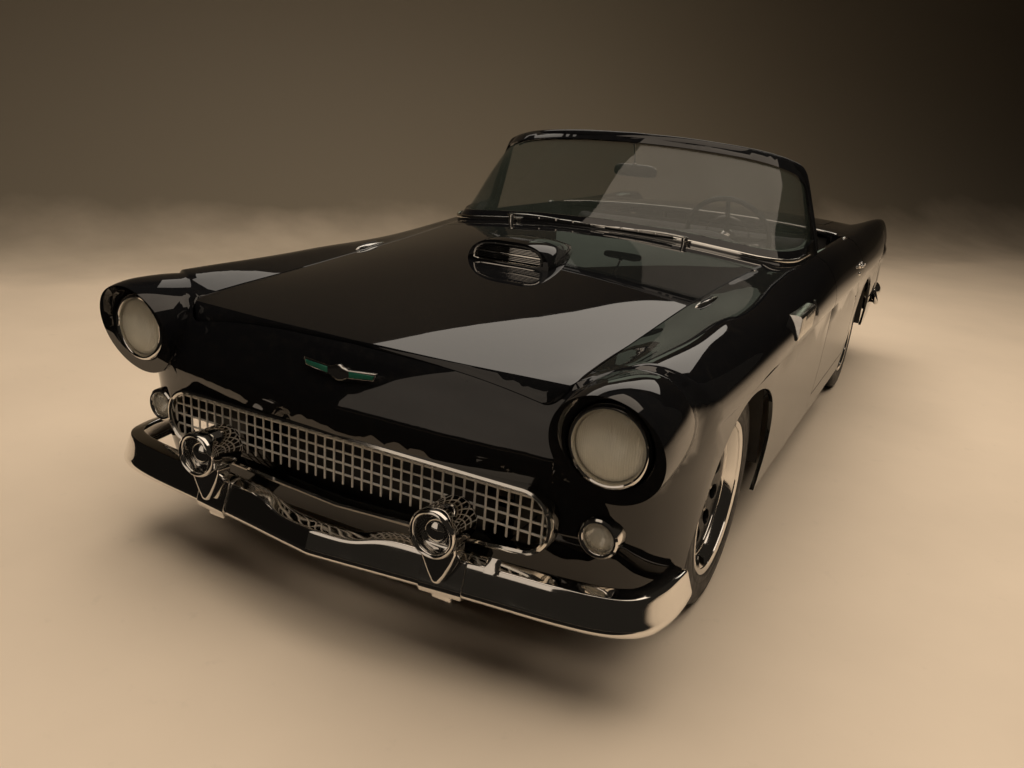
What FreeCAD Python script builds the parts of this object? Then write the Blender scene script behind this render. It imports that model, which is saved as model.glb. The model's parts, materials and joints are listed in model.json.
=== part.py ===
import FreeCAD, Part
import math
import os

# A lowered two-seat open hot rod with a long front-hinged hood. Millimetres, +Z up, the front faces -Y,
# the car's left side is +X, and the origin is on the floor under the middle of the whole car.

V = FreeCAD.Vector
X_AXIS, Y_AXIS, Z_AXIS = V(1, 0, 0), V(0, 1, 0), V(0, 0, 1)
ORIGIN = V(0, 0, 0)
FAR = 6000.0

# Running gear
wheelbase = 2591.0
front_axle_y = -1405.0
rear_axle_y = front_axle_y + wheelbase
half_track = 722.0
tyre_radius = 322.0
tyre_width = 205.0
tyre_bore_radius = 214.0
rim_lip_radius = 226.0
hub_radius = 62.0
wheel_hole_count = 10
wheel_hole_radius = 22.0
kingpin_x = 612.0
brake_radius = 150.0

# Body
skin = 12.0
seam = 5.0
fit = 0.3
door_thickness = 120.0
door_front_y = -85.0
door_rear_y = 740.0
door_bottom_z = 300.0
rocker_bottom_z = 200.0
hood_front_y = -2036.0
hood_rear_y = -600.0
hood_corner_radius = 60.0
trunk_front_y = 1120.0
trunk_lip_z = 700.0
cockpit_rear_y = 770.0
cockpit_front_y = -330.0
floor_z = 262.0
floor_thickness = 12.0
tunnel_half_width = 130.0
tunnel_top_z = 440.0
firewall_y = -560.0
apron_top_z = 735.0
spear_step = 6.0

# Lamps
headlamp_x = 717.0
headlamp_z = 674.0
headlamp_face_y = -2083.0
headlamp_radius = 86.0
headlamp_ring = 13.0
nacelle_radius = 138.0
nacelle_tip_radius = 118.0
nacelle_tip_y = -2160.0
nacelle_mouth_y = -2108.0
brow_lean = 14.5
parking_x = 700.0
parking_z = 432.0
parking_radius = 42.0
tail_lamp_x = 792.0
tail_lamp_z = 652.0
tail_lamp_radius = 66.0
tail_barrel_radius = 84.0
tail_face_y = 2150.0

# Grille and bumpers
grille_half_width = 606.0
nose_split_x = grille_half_width - 18.0
nose_foot_x = grille_half_width + 42.0
grille_top_z = 527.0
grille_bottom_z = 364.0
grille_sag = 48.0
grille_y = -2070.0
grille_pitch = 27.0
grille_bar = 3.6
grille_free_end = 22.0
grille_corner = (grille_top_z - grille_bottom_z) * 0.48
grille_surround = 9.0
bumper_bottom_z = 237.0
bumper_top_z = 336.0
bumper_dip = 24.0
rear_bumper_bottom_z = 330.0
rear_bumper_top_z = 470.0
guard_x = 369.0
guard_z = 415.0
guard_radius = 62.0
guard_tip_y = -2226.0
blade_crease = 0.9
guard_foot_z = 262.0
saddle_half_width = 56.0

# Windscreen
header_height = 34.0
moulding_height = 35.0
pillar_width = 30.0
pillar_foot_y = -15.0
tongue_inner_x = 684.0
frame_ahead = 10.0
frame_behind = 14.0
glass_thickness = 6.0
mirror_half_width = 95.0
mirror_drop = 151.0
wiper_y = -484.0

# Cabin
steering_radius = 185.0
steering_tube = 11.0
column_radius = 22.0
column_lean = 25.0
seat_half_width = 640.0
handle_z = 752.0

# Lines that the body follows from nose to tail, each as (y, value) stations
CROWN_Z = [(-2200, 806), (-2000, 813), (-1500, 815), (-900, 821), (-600, 836), (-350, 852), (-85, 864),
           (330, 866), (740, 862), (1186, 860), (1600, 862), (1950, 862), (2200, 846)]
CROWN_X = [(-2200, 715), (-1500, 722), (-900, 730), (-600, 742), (-85, 772), (740, 786), (1186, 792),
           (1600, 800), (2200, 812)]
CENTRE_Z = [(-2200, 735), (-2040, 760), (-1800, 797), (-1400, 843), (-900, 884), (-600, 898), (-440, 902),
            (780, 898), (1120, 894), (1500, 880), (1850, 842), (2030, 785), (2200, 680)]
VALLEY_Z = [(-2200, 742), (-2040, 757), (-1700, 785), (-1200, 818), (-900, 836), (-600, 854), (-85, 866),
            (780, 866), (1120, 860), (1500, 848), (1850, 815), (2030, 770), (2200, 672)]
VALLEY_X = [(-2200, 575), (-1900, 580), (-1600, 588), (-1200, 598), (-600, 640), (-85, 702), (740, 712),
            (1120, 700), (1600, 684), (2200, 664)]
SIDE_X = [(-2200, 852), (-1800, 866), (-1405, 874), (-900, 878), (-85, 880), (740, 884), (1186, 884),
          (1600, 880), (2200, 862)]
SPEAR_Z = [(-2200, 650), (-1405, 664), (-870, 672), (400, 668), (1186, 662), (2200, 650)]
STEP = [(-2200, 0.1), (-1100, 0.1), (-860, 1.0), (1500, 1.0), (2200, 0.6)]
STATIONS = [-2200, -1950, -1700, -1405, -1100, -860, -600, -350, -85, 330, 740, 1186, 1600, 1900, 2200]
# Nose profile on the centreline as (z, y), and how far the face falls back to the side as (x, y)
NOSE = [(150, -2020), (300, -2058), (420, -2084), (530, -2100), (590, -2114), (667, -2090), (730, -2058),
        (765, -2030), (840, -1960), (1100, -1700)]
NOSE_SWEEP = [(0, 0), (300, 7), (560, 29), (700, 58), (785, 122), (840, 220), (868, 350), (884, 560)]
# Tail profile and its sweep
TAIL = [(150, 2050), (300, 2075), (450, 2092), (600, 2098), (700, 2098), (780, 2090), (860, 2060),
        (1100, 1960)]
TAIL_SWEEP = [(0, 0), (350, -8), (600, -12), (710, 5), (790, 45), (840, 30), (866, -60), (884, -260)]


def follow(stations, y):
    """Value of a body line at y, smooth between its stations and never past them."""
    first, last = stations[0], stations[-1]
    if y <= first[0]:
        return float(first[1])
    if y >= last[0]:
        return float(last[1])
    slopes = [(b[1] - a[1]) / float(b[0] - a[0]) for a, b in zip(stations, stations[1:])]
    tangents = [slopes[0]]
    for before, after in zip(slopes, slopes[1:]):
        tangents.append(0.0 if before * after <= 0 else 2 * before * after / (before + after))
    tangents.append(slopes[-1])
    for i, (a, b) in enumerate(zip(stations, stations[1:])):
        if a[0] <= y <= b[0]:
            h = float(b[0] - a[0])
            t = (y - a[0]) / h
            return ((2 * t**3 - 3 * t**2 + 1) * a[1] + (t**3 - 2 * t**2 + t) * h * tangents[i]
                    + (3 * t**2 - 2 * t**3) * b[1] + (t**3 - t**2) * h * tangents[i + 1])


def spline(points):
    curve = Part.BSplineCurve()
    curve.interpolate(points)
    return curve.toShape()


def polyline(points):
    return [Part.makeLine(a, b) for a, b in zip(points, points[1:])]


def polygon_prism(points, direction):
    """Solid from a closed polygon pushed along a vector."""
    wire = Part.Wire(polyline(points + [points[0]]))
    return Part.Face(wire).extrude(direction)


def rounded_prism(points, radii, direction):
    """Solid from a closed polygon with an arc at each corner, pushed along a vector."""
    n = len(points)
    starts, ends, mids = [], [], []
    for i in range(n):
        p, a, b = points[i], points[i - 1], points[(i + 1) % n]
        u, w = (a - p).normalize(), (b - p).normalize()
        half = math.acos(max(-1.0, min(1.0, u.dot(w)))) / 2
        r = radii[i] if isinstance(radii, (list, tuple)) else radii
        reach = r / math.tan(half)
        bisector = (u + w).normalize()
        starts.append(p + u * reach)
        ends.append(p + w * reach)
        mids.append(p + bisector * (r / math.sin(half) - r))
    edges = []
    for i in range(n):
        edges.append(Part.Arc(starts[i], mids[i], ends[i]).toShape())
        edges.append(Part.makeLine(ends[i], starts[(i + 1) % n]))
    return Part.Face(Part.Wire(edges)).extrude(direction)


def box(x0, x1, y0, y1, z0, z1):
    return Part.makeBox(x1 - x0, y1 - y0, z1 - z0, V(x0, y0, z0))


def cylinder(radius, base, axis, length):
    return Part.makeCylinder(radius, length, base, axis)


def tube(outer, inner, base, axis, length):
    return cylinder(outer, base, axis, length).cut(cylinder(inner, base - axis * 1.0, axis, length + 2.0))


def revolved(profile, centre, axis_name):
    """Solid turned from a closed profile of (radius, along) points, its axis along X or Y through centre."""
    points = [V(along, radius, 0) for radius, along in profile]
    face = Part.Face(Part.Wire(polyline(points + [points[0]])))
    solid = face.revolve(ORIGIN, X_AXIS, 360)
    if axis_name == "Y":
        solid.rotate(ORIGIN, Z_AXIS, 90)
    solid.translate(centre)
    return solid


def rod(a, b, radius):
    return Part.makeCylinder(radius, (b - a).Length, a, (b - a))


def mirrored(shape):
    return shape.mirror(ORIGIN, X_AXIS)


def both(shape):
    return shape.fuse(mirrored(shape)).removeSplitter()


def lowest(shape):
    return min(point.z for point in shape.tessellate(0.2)[0])


def pair(shape):
    """A piece and its mirror image as two solids that don't touch."""
    return Part.makeCompound([shape, mirrored(shape)])


def half_section(y, inset):
    """Outline of the body's left half at y, drawn inwards by inset: hood, fender, side, sill."""
    cz, cx = follow(CROWN_Z, y), follow(CROWN_X, y)
    mid_z, val_z, val_x = follow(CENTRE_Z, y), follow(VALLEY_Z, y), follow(VALLEY_X, y)
    side_x, spear_z = follow(SIDE_X, y), follow(SPEAR_Z, y)
    step = spear_step * follow(STEP, y)
    floor = rocker_bottom_z - skin + inset
    top = V(0, y, mid_z - inset)
    hood_mid = V(val_x * 0.55, y, mid_z + (val_z - mid_z) * 0.27 - inset)
    valley = V(val_x, y, val_z - inset)
    rise = V(val_x + (cx - val_x) * 0.5, y, val_z + (cz - val_z) * 0.62 - inset)
    crown = V(cx, y, cz - inset)
    shoulder = V(cx + (side_x - cx) * 0.72 - inset * 0.7, y, cz - (cz - spear_z) * 0.30 - inset * 0.7)
    spear = V(side_x - inset, y, spear_z)
    under = V(side_x - step - inset, y, spear_z - step * 1.6)
    lower = V(side_x - step - 4 - inset, y, spear_z - 190)
    low = V(side_x - step - 32 - inset, y, floor)
    corner = V(0, y, floor)
    return Part.Wire([
        spline([top, hood_mid, valley]),
        spline([valley, rise, crown, shoulder, spear]),
        Part.makeLine(spear, under),
        spline([under, lower, low]),
        Part.makeLine(low, corner),
        Part.makeLine(corner, top),
    ])


def end_form(profile, sweep, far_y, inset):
    """Everything behind the nose's face, or ahead of the tail's, as a loft of plan outlines."""
    forward = -1 if far_y > 0 else 1
    levels = [150 + 62.0 * i for i in range(13)] + [1000, 1100]
    wires = []
    for z in levels:
        y0 = follow(profile, z)
        points = [V(x, y0 + back - forward * inset, z) for x, back in sweep]
        last = points[-1]
        wires.append(Part.Wire([spline(points)] + polyline(
            [last, V(FAR, last.y, z), V(FAR, far_y, z), V(0, far_y, z), points[0]])))
    return Part.makeLoft(wires, True, False)


def round_end(radii, x, z, inset):
    """Round end of a fender turned about an axis along Y, from (radius, y) points, drawn in by inset."""
    points = [V(y, r - inset, 0) for r, y in radii]
    first, last = points[0], points[-1]
    outline = [spline(points), Part.makeLine(last, V(last.x, 0, 0)),
               Part.makeLine(V(last.x, 0, 0), V(first.x, 0, 0)), Part.makeLine(V(first.x, 0, 0), first)]
    solid = Part.Face(Part.Wire(outline)).revolve(ORIGIN, X_AXIS, 360)
    solid.rotate(ORIGIN, Z_AXIS, 90)
    solid.translate(V(x, 0, z))
    return solid


def mouth_cutter(inset):
    """Everything ahead of the leaning plane that ends the headlamp nacelle."""
    lean = box(-400, 400, -400, 0, -500, 500)
    lean.rotate(ORIGIN, X_AXIS, brow_lean)
    lean.translate(V(headlamp_x, nacelle_mouth_y + inset, headlamp_z))
    return lean


def nacelle(inset):
    """Round fender end that carries the headlamp, with its brow leaning forward."""
    radii = [(nacelle_tip_radius, nacelle_tip_y), (nacelle_radius - 5, nacelle_tip_y + 50),
             (nacelle_radius, nacelle_tip_y + 130), (nacelle_radius - 8, nacelle_tip_y + 260),
             (nacelle_radius - 34, nacelle_tip_y + 400)]
    return round_end(radii, headlamp_x, headlamp_z, inset).cut(mouth_cutter(inset))


def tail_barrel(inset):
    radii = [(tail_barrel_radius - 4, tail_face_y - inset), (tail_barrel_radius, tail_face_y - 60),
             (tail_barrel_radius, tail_face_y - 200), (tail_barrel_radius - 20, tail_face_y - 450)]
    return round_end(radii, tail_lamp_x, tail_lamp_z, inset)


def body_form(inset):
    """Left half of the whole body's outside, drawn inwards by inset."""
    long = Part.makeLoft([half_section(y, inset) for y in STATIONS], True, False)
    long = long.common(end_form(NOSE, NOSE_SWEEP, FAR, inset))
    long = long.common(end_form(TAIL, TAIL_SWEEP, -FAR, inset))
    return long.fuse(nacelle(inset)).fuse(tail_barrel(inset))


def plan_region(edge, front, rear, corner, grow, top=1100.0, bottom=600.0):
    """Upright prism over a panel's left half in plan: straight front and rear, its side along edge."""
    side_first = V(follow(edge, front) + grow, front - grow + corner, bottom)
    points = [side_first]
    steps = 6
    for i in range(1, steps):
        y = front + (rear - front) * i / steps
        points.append(V(follow(edge, y) + grow, y, bottom))
    points.append(V(follow(edge, rear) + grow, rear + grow, bottom))
    a = V(0, front - grow, bottom)
    b = V(side_first.x - corner, front - grow, bottom)
    m = V(side_first.x - corner * 0.293, front - grow + corner * 0.293, bottom)
    e = V(0, rear + grow, bottom)
    wire = Part.Wire([Part.makeLine(a, b), Part.Arc(b, m, side_first).toShape(), spline(points),
                      Part.makeLine(points[-1], e), Part.makeLine(e, a)])
    return Part.Face(wire).extrude(V(0, 0, top - bottom))


HOOD_EDGE = [(-2036, 588), (-1600, 592), (-1200, 600), (-900, 616), (-600, 645)]
TRUNK_EDGE = [(1120, 610), (1500, 600), (2200, 560)]


def hood_region(grow):
    return plan_region(HOOD_EDGE, hood_front_y, hood_rear_y, hood_corner_radius, grow)


def trunk_region(grow):
    """The trunk lid's outline in plan, with its open rear end left beyond the tail."""
    region = plan_region(TRUNK_EDGE, trunk_front_y, 2300.0, 50.0, grow)
    return region.cut(box(-10, 1000, 1000, 2400, 500, trunk_lip_z - grow))


def arch(centre_y, lead, width, height, base_z):
    """Wheel opening in a body side: half an ellipse that runs straight down below its base."""
    ellipse = Part.Ellipse(V(560, centre_y + lead, base_z), width, height)
    shape = Part.Face(Part.Wire(ellipse.toShape())).extrude(V(0, 0, 400))
    shape.translate(V(0, -(centre_y + lead), -base_z))
    shape.translate(V(-560, 0, 0))
    shape.rotate(ORIGIN, Z_AXIS, 90)
    shape.rotate(ORIGIN, Y_AXIS, 90)
    shape.translate(V(560, centre_y + lead, base_z))
    return shape.fuse(box(560, 960, centre_y + lead - width, centre_y + lead + width, 0, base_z))


# The body's outer and inner forms, and the panels cut from the shell between them
OUTER = body_form(0)
INNER = body_form(skin)
SHELL = OUTER.cut(INNER).cut(box(-100, 1000, -3000, 3000, 0, rocker_bottom_z))
OUTER = OUTER.cut(box(-100, 1000, -3000, 3000, 0, rocker_bottom_z))
FRONT_ARCH = arch(front_axle_y, -5.0, 405.0, 350.0, 300.0)
REAR_ARCH = arch(rear_axle_y, 5.0, 385.0, 318.0, 300.0)
seat_back_wall_y = cockpit_rear_y + 20.0
cabin_x = follow(SIDE_X, 300) - door_thickness
quarter_front_y = door_rear_y + seam
fender_rear_y = door_front_y - seam
sill_top_z = door_bottom_z - seam
PIECES = {}


def opening_region(grow):
    """The cockpit opening's left half in plan, with rounded corners."""
    return rounded_prism(
        [V(-300, cockpit_front_y - grow, 500), V(cabin_x + grow, cockpit_front_y - grow, 500),
         V(cabin_x + grow, cockpit_rear_y + grow, 500), V(-300, cockpit_rear_y + grow, 500)],
        [10.0, 90.0, 120.0, 10.0], V(0, 0, 700)).common(box(0, 1000, -1000, 1000, 0, 2000)).cut(
            box(tongue_inner_x + grow, 1000, -1000, pillar_foot_y - grow, 0, 2000))


def valley_prism(y0, y1, offset):
    """Upright prism over the body's middle, out to the line where hood and fender meet."""
    points = []
    for i in range(7):
        y = y0 + (y1 - y0) * i / 6.0
        points.append(V(follow(VALLEY_X, y) + offset, y, 0))
    wire = Part.Wire([spline(points)] + polyline([points[-1], V(0, y1, 0), V(0, y0, 0), points[0]]))
    return Part.Face(wire).extrude(V(0, 0, 1300))


# Front panels
BETWEEN_FENDERS = valley_prism(hood_rear_y - 40, -60.0, 0.0)
NOSE_REGION = polygon_prism(
    [V(0, -2400, 1000), V(nose_split_x, -2400, 1000), V(nose_split_x, -2400, grille_top_z + 24),
     V(nose_foot_x, -2400, grille_top_z - 32), V(nose_foot_x, -2400, 100), V(0, -2400, 100)], V(0, 460, 0))
HOOD_KEEP = hood_region(0)
HOOD_CUT = hood_region(seam)
hood_half = SHELL.common(HOOD_KEEP)



def grille_outline(shrink, front_y, depth):
    """Rounded block with the grille opening's outline, drawn in by shrink; its lower edge sags."""
    side = grille_half_width - shrink
    top, bottom = grille_top_z - shrink, grille_bottom_z + shrink
    corner = grille_corner - shrink
    return rounded_prism([V(-side, front_y, top), V(side, front_y, top), V(side, front_y, bottom),
                          V(0, front_y, bottom - grille_sag), V(-side, front_y, bottom)],
                         [corner, corner, corner, 3000.0, corner], V(0, depth, 0))


grille_opening = grille_outline(0.0, -2400.0, 500.0)
nose_half = SHELL.common(NOSE_REGION).cut(HOOD_CUT).cut(grille_opening)
nose_half = nose_half.cut(box(-10, 900, -2400, -1900, 0, 250))
hood_lip_z = lowest(hood_half.common(box(300, 340, hood_front_y - 1, hood_front_y + 8, 600, 900)))
hood_leaf = box(300, 340, hood_front_y - 14, hood_front_y + 8, hood_lip_z - 30, hood_lip_z - fit)
PIECES["nose_panel"] = both(nose_half.fuse(hood_leaf))

fender_zone = box(0, 1000, -2400, fender_rear_y, 0, 1200).cut(NOSE_REGION).cut(HOOD_CUT)
fender_zone = fender_zone.cut(BETWEEN_FENDERS.cut(box(-10, 1000, -1000, hood_rear_y + seam, 0, 1300)))
fender_zone = fender_zone.cut(box(-10, 480, -2400, 0, 0, 1200)).cut(FRONT_ARCH)
fender_zone = fender_zone.cut(box(-10, 1000, -2400, -1790, 0, 250))
fender = SHELL.common(fender_zone)
lamp_seat = headlamp_radius + headlamp_ring + fit
bucket_tip = V(headlamp_x, nacelle_tip_y - 10, headlamp_z)
bucket_block = cylinder(nacelle_radius - skin - 2, bucket_tip, Y_AXIS, 105.0).cut(mouth_cutter(1.0))
bucket_cone = revolved([(0, -2300), (nacelle_radius - 12, -2300), (nacelle_radius - 12, nacelle_mouth_y - 34),
                        (lamp_seat, headlamp_face_y - 2), (lamp_seat, -2000), (0, -2000)],
                       V(headlamp_x, 0, headlamp_z), "Y")
fender = fender.fuse(bucket_block).cut(bucket_cone)
parking_bore = cylinder(parking_radius + 8 + fit, V(parking_x, -2300, parking_z), Y_AXIS, 480)
jamb_zone = box(700, 1000, fender_rear_y - skin, fender_rear_y, rocker_bottom_z, 1200)
fender = fender.cut(parking_bore).fuse(OUTER.common(jamb_zone).cut(BETWEEN_FENDERS))
for z in (380, 700):
    fender = fender.fuse(box(800, 850, fender_rear_y - 2, door_front_y - fit, z, z + 60))
PIECES["front_fenders"] = pair(fender)

# Hood with the scoop's raised hump and open mouth
scoop_mouth_y = -1250.0
hump_rings = []
for y, w, h in ((scoop_mouth_y, 148, 74), (-1160, 145, 70), (-1050, 126, 54), (-930, 88, 22)):
    skin_z = follow(CENTRE_Z, y)
    base_z = skin_z - 9
    hump_rings.append(Part.Wire([
        spline([V(-w, y, base_z), V(-w * 0.9, y, skin_z + h * 0.55), V(-w * 0.55, y, skin_z + h * 0.93),
                V(0, y, skin_z + h), V(w * 0.55, y, skin_z + h * 0.93), V(w * 0.9, y, skin_z + h * 0.55),
                V(w, y, base_z)]),
        Part.makeLine(V(w, y, base_z), V(-w, y, base_z))]))
hump = Part.makeLoft(hump_rings, True, False)
scoop_hole = rounded_prism([V(-124, -1300, 863), V(124, -1300, 863), V(104, -1300, 918), V(-104, -1300, 918)],
                           [12.0, 12.0, 32.0, 32.0], V(0, 150, 0))
hood = both(hood_half).fuse(hump).cut(scoop_hole)
PIECES["hood"] = hood
scoop_bars = [box(-130, 130, -1246, -1216, z, z + 4) for z in (872, 881, 891, 901, 909)]
scoop_grille = scoop_bars[0]
for bar in scoop_bars[1:]:
    scoop_grille = scoop_grille.fuse(bar)
for x in (-70, 0, 70):
    scoop_grille = scoop_grille.fuse(box(x - 2, x + 2, -1238, -1222, 850, 930))
PIECES["hood_scoop_grille"] = scoop_grille.common(scoop_hole)

# Cowl, deck, quarters, trunk lid and tail
cowl_zone = BETWEEN_FENDERS.cut(opening_region(0)).cut(HOOD_CUT)
tongue = box(tongue_inner_x, cabin_x - seam, fender_rear_y + fit, pillar_foot_y, 600, 1300)
tongue_root = box(tongue_inner_x, 1000, fender_rear_y - 1, pillar_foot_y, 600, 1300)
tongue = tongue.fuse(BETWEEN_FENDERS.common(tongue_root))
cowl_zone = cowl_zone.common(box(-10, 1000, hood_rear_y + seam, fender_rear_y, 600, 1300)).fuse(tongue)
PIECES["cowl_panel"] = both(SHELL.common(cowl_zone))

side_cut = valley_prism(quarter_front_y - 10, trunk_front_y, 0.0)
side_cut = side_cut.fuse(box(-10, 700, 600, trunk_front_y, 0, 800))
quarter_zone = box(560, 1000, quarter_front_y, 2400, 0, 1200).cut(trunk_region(seam))
quarter_zone = quarter_zone.cut(REAR_ARCH).cut(side_cut)
tail_split = box(-10, 640, 1700, 2400, 0, trunk_lip_z - seam)
quarter_zone = quarter_zone.cut(tail_split).cut(box(-10, 1000, 1560, 2400, 0, 285))
quarter_zone = quarter_zone.cut(opening_region(0))
quarter = SHELL.common(quarter_zone)
rear_jamb = OUTER.common(box(640, 1000, quarter_front_y, quarter_front_y + skin, rocker_bottom_z, 1200))
quarter = quarter.fuse(rear_jamb.cut(opening_region(0)).cut(box(0, 712, 0, 1000, 0, 1300)))
tail_bore = cylinder(tail_lamp_radius + 1, V(tail_lamp_x, 2000, tail_lamp_z), Y_AXIS, 300)
quarter = quarter.cut(tail_bore)
PIECES["rear_quarters"] = pair(quarter)

deck_zone = valley_prism(quarter_front_y + 1, trunk_front_y - seam, 0.0).cut(opening_region(0))
deck_zone = deck_zone.common(box(-10, 1000, 700, 1200, 780, 1300))
deck_half = SHELL.common(deck_zone)
lid_half = SHELL.common(trunk_region(0))
lid_lip_z = lowest(lid_half.common(box(300, 340, trunk_front_y - 1, trunk_front_y + 14, 600, 1000)))
leaf_front_y = trunk_front_y - 30
lid_leaf = box(300, 340, leaf_front_y, trunk_front_y + 14, lid_lip_z - 10, lid_lip_z - fit)
lid_leaf = lid_leaf.fuse(box(300, 340, leaf_front_y, trunk_front_y - seam - 1, lid_lip_z - 10, lid_lip_z + 5))
PIECES["deck_panel"] = both(deck_half.fuse(lid_leaf))
PIECES["trunk_lid"] = both(lid_half)
tail_zone = tail_split.cut(box(-10, 1000, 1700, 2400, 0, 290))
PIECES["tail_panel"] = both(SHELL.common(tail_zone))

# Doors as thick as the real ones, and the sills under them
door_zone = box(cabin_x, 1000, door_front_y, door_rear_y, door_bottom_z, 1200)
door_bevel = polygon_prism([V(cabin_x + 125, door_rear_y + 1, 0), V(cabin_x + 60, door_rear_y + 1, 0),
                            V(cabin_x - 60, door_rear_y + 1, 0), V(cabin_x - 60, door_rear_y - 24, 0)],
                           V(0, 0, 1300))
door = OUTER.common(door_zone.cut(door_bevel))
PIECES["door_left"] = door
PIECES["door_right"] = mirrored(door)
sill_zone = box(cabin_x - 20, 1000, fender_rear_y, quarter_front_y, rocker_bottom_z, sill_top_z)
rocker = OUTER.common(sill_zone)
PIECES["rockers"] = pair(rocker)

# Windscreen: a wrapped sheet of glass in a black frame
SCREEN_BASE = [(0, -440, 906), (300, -440, 898), (500, -438, 882), (620, -428, 870), (700, -395, 864),
               (736, -320, 866), (750, -180, 874), (754, -20, 885)]
SCREEN_TOP = [(0, -217, 1276), (220, -205, 1271), (400, -160, 1258), (520, -112, 1243), (590, -80, 1227),
              (626, -62, 1214), (646, -53, 1204), (657, -45, 1195)]
SCREEN_LEVELS = [(846.0, 0.0), (1040.0, 5.0), (1290.0, 0.0)]


def screen_wire(level, bow, ahead, behind):
    """Closed outline of the wrapped sheet's left half at one height, between two offsets from its middle."""
    line = []
    for a, b in zip(SCREEN_BASE, SCREEN_TOP):
        t = (level - a[2]) / float(b[2] - a[2])
        line.append(V(a[0] + (b[0] - a[0]) * t, a[1] + (b[1] - a[1]) * t, level))
    front, back = [], []
    for i, point in enumerate(line):
        along = line[min(i + 1, len(line) - 1)] - line[max(i - 1, 0)]
        outward = V(0, -1, 0) if i == 0 else V(along.y, -along.x, 0).normalize()
        front.append(point + outward * (bow + ahead))
        back.append(point + outward * (bow - behind))
    return Part.Wire([spline(front), Part.makeLine(front[-1], back[-1]), spline(back[::-1]),
                      Part.makeLine(back[0], front[0])])


def screen_sheet(ahead, behind):
    """Left half of the wrapped sheet, from inside the cowl to above the header."""
    return Part.makeLoft([screen_wire(z, bow, ahead, behind) for z, bow in SCREEN_LEVELS], True, False)


def screen_face(base_lift, top_drop, rear_drop):
    """Upright limits of the sheet's left half: front view from base to header, side view up to the pillar."""
    base = [V(x, -900, z + base_lift) for x, y, z in SCREEN_BASE[:5]]
    base.append(V(800, -900, SCREEN_BASE[4][2] + base_lift))
    top = [V(x, -900, z - top_drop) for x, y, z in SCREEN_TOP]
    corner = V(800, -900, top[-1].z - 150)
    across = Part.Wire(polyline(base) + [Part.makeLine(base[-1], corner), Part.makeLine(corner, top[-1]),
                                         spline(top[::-1]), Part.makeLine(top[0], base[0])])
    low = [V(0, -600, base_lift + SCREEN_BASE[4][2])]
    low += [V(0, y, z + base_lift) for x, y, z in SCREEN_BASE[4:-1]]
    low.append(V(0, SCREEN_BASE[-1][1] - rear_drop, SCREEN_BASE[-1][2] + base_lift))
    high = V(0, SCREEN_TOP[-1][1] - rear_drop * 0.5, SCREEN_TOP[-1][2])
    beyond = [V(0, high.y, 1400), V(0, -600, 1400), low[0]]
    side = Part.Wire(polyline(low + [high] + beyond))
    return Part.Face(across).extrude(V(0, 1000, 0)).common(Part.Face(side).extrude(V(900, 0, 0)))


screen_outline = screen_face(-60.0, 0.0, -40.0)
window = screen_face(moulding_height, header_height, pillar_width)
frame_half = screen_sheet(frame_ahead, frame_behind).common(screen_outline).cut(window).cut(OUTER)
windscreen_frame = both(frame_half)
windscreen_glass = both(screen_sheet(0.0, glass_thickness).common(window))
PIECES["windscreen_frame"] = windscreen_frame
PIECES["windscreen_glass"] = windscreen_glass


def wiper_arm(pivot_x, tip_x):
    """Wiper on the left half: post, arm and blade lying above the cowl."""
    post = cylinder(12.0, V(pivot_x, wiper_y, 860), Z_AXIS, 52.0).cut(OUTER)
    arm = rod(V(pivot_x, wiper_y, 906), V(tip_x, wiper_y - 4, 916), 4.0)
    return post.fuse(arm)


wiper_left = wiper_arm(350, 20)
wiper_right = mirrored(wiper_arm(400, 40))
header_y = SCREEN_TOP[0][1]
header_z = SCREEN_TOP[0][2]
mirror_y = header_y + 52.0
mirror_z = header_z - mirror_drop
mirror_stem = rod(V(0, header_y + 4, header_z - 16), V(0, mirror_y + 8, mirror_z + 10), 5.0)
mirror_stem = mirror_stem.cut(windscreen_frame)
PIECES["wipers"] = Part.makeCompound([wiper_left, wiper_right])
mirror_low, mirror_high = mirror_z - 25, mirror_z + 25
mirror_head = rounded_prism([V(x, mirror_y, z) for x, z in (
    (-mirror_half_width, mirror_low), (mirror_half_width, mirror_low),
    (mirror_half_width, mirror_high), (-mirror_half_width, mirror_high))], 18.0, V(0, 16, 0))
PIECES["mirror"] = mirror_stem.fuse(mirror_head)

# Floor, tunnel, bulkheads and wheel houses
floor_half_width = 690.0
floor_top_z = floor_z + floor_thickness
floor_pan = box(-floor_half_width, floor_half_width, firewall_y, seat_back_wall_y, floor_z, floor_top_z)


def tunnel_form(half_width, front_y, low, high, corner):
    """Rounded ridge over the propeller shaft, from the firewall to the wall behind the seat."""
    length = seat_back_wall_y + firewall_y - 2 * front_y
    return rounded_prism([V(-half_width, front_y, low), V(half_width, front_y, low),
                          V(half_width - 20, front_y, high), V(20 - half_width, front_y, high)],
                         [2.0, 2.0, corner, corner], V(0, length, 0))


tunnel = tunnel_form(tunnel_half_width, firewall_y, floor_z, tunnel_top_z, 50.0)
tunnel_bore = tunnel_form(tunnel_half_width - 11.5, firewall_y - 20, floor_z - 60, tunnel_top_z - 11, 44.0)
firewall = box(-560, 560, firewall_y - skin, firewall_y, floor_z, 836)
rear_wall = box(-floor_half_width, floor_half_width, seat_back_wall_y, seat_back_wall_y + skin, floor_z, 842)
sill_reach = cabin_x - 20.0
floor_pan = floor_pan.fuse(box(-sill_reach, sill_reach, -80, 735, floor_z, floor_top_z))
floor_pan = floor_pan.fuse(tunnel).fuse(firewall).fuse(rear_wall).cut(tunnel_bore)
PIECES["floor_pan"] = floor_pan.removeSplitter()


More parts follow.
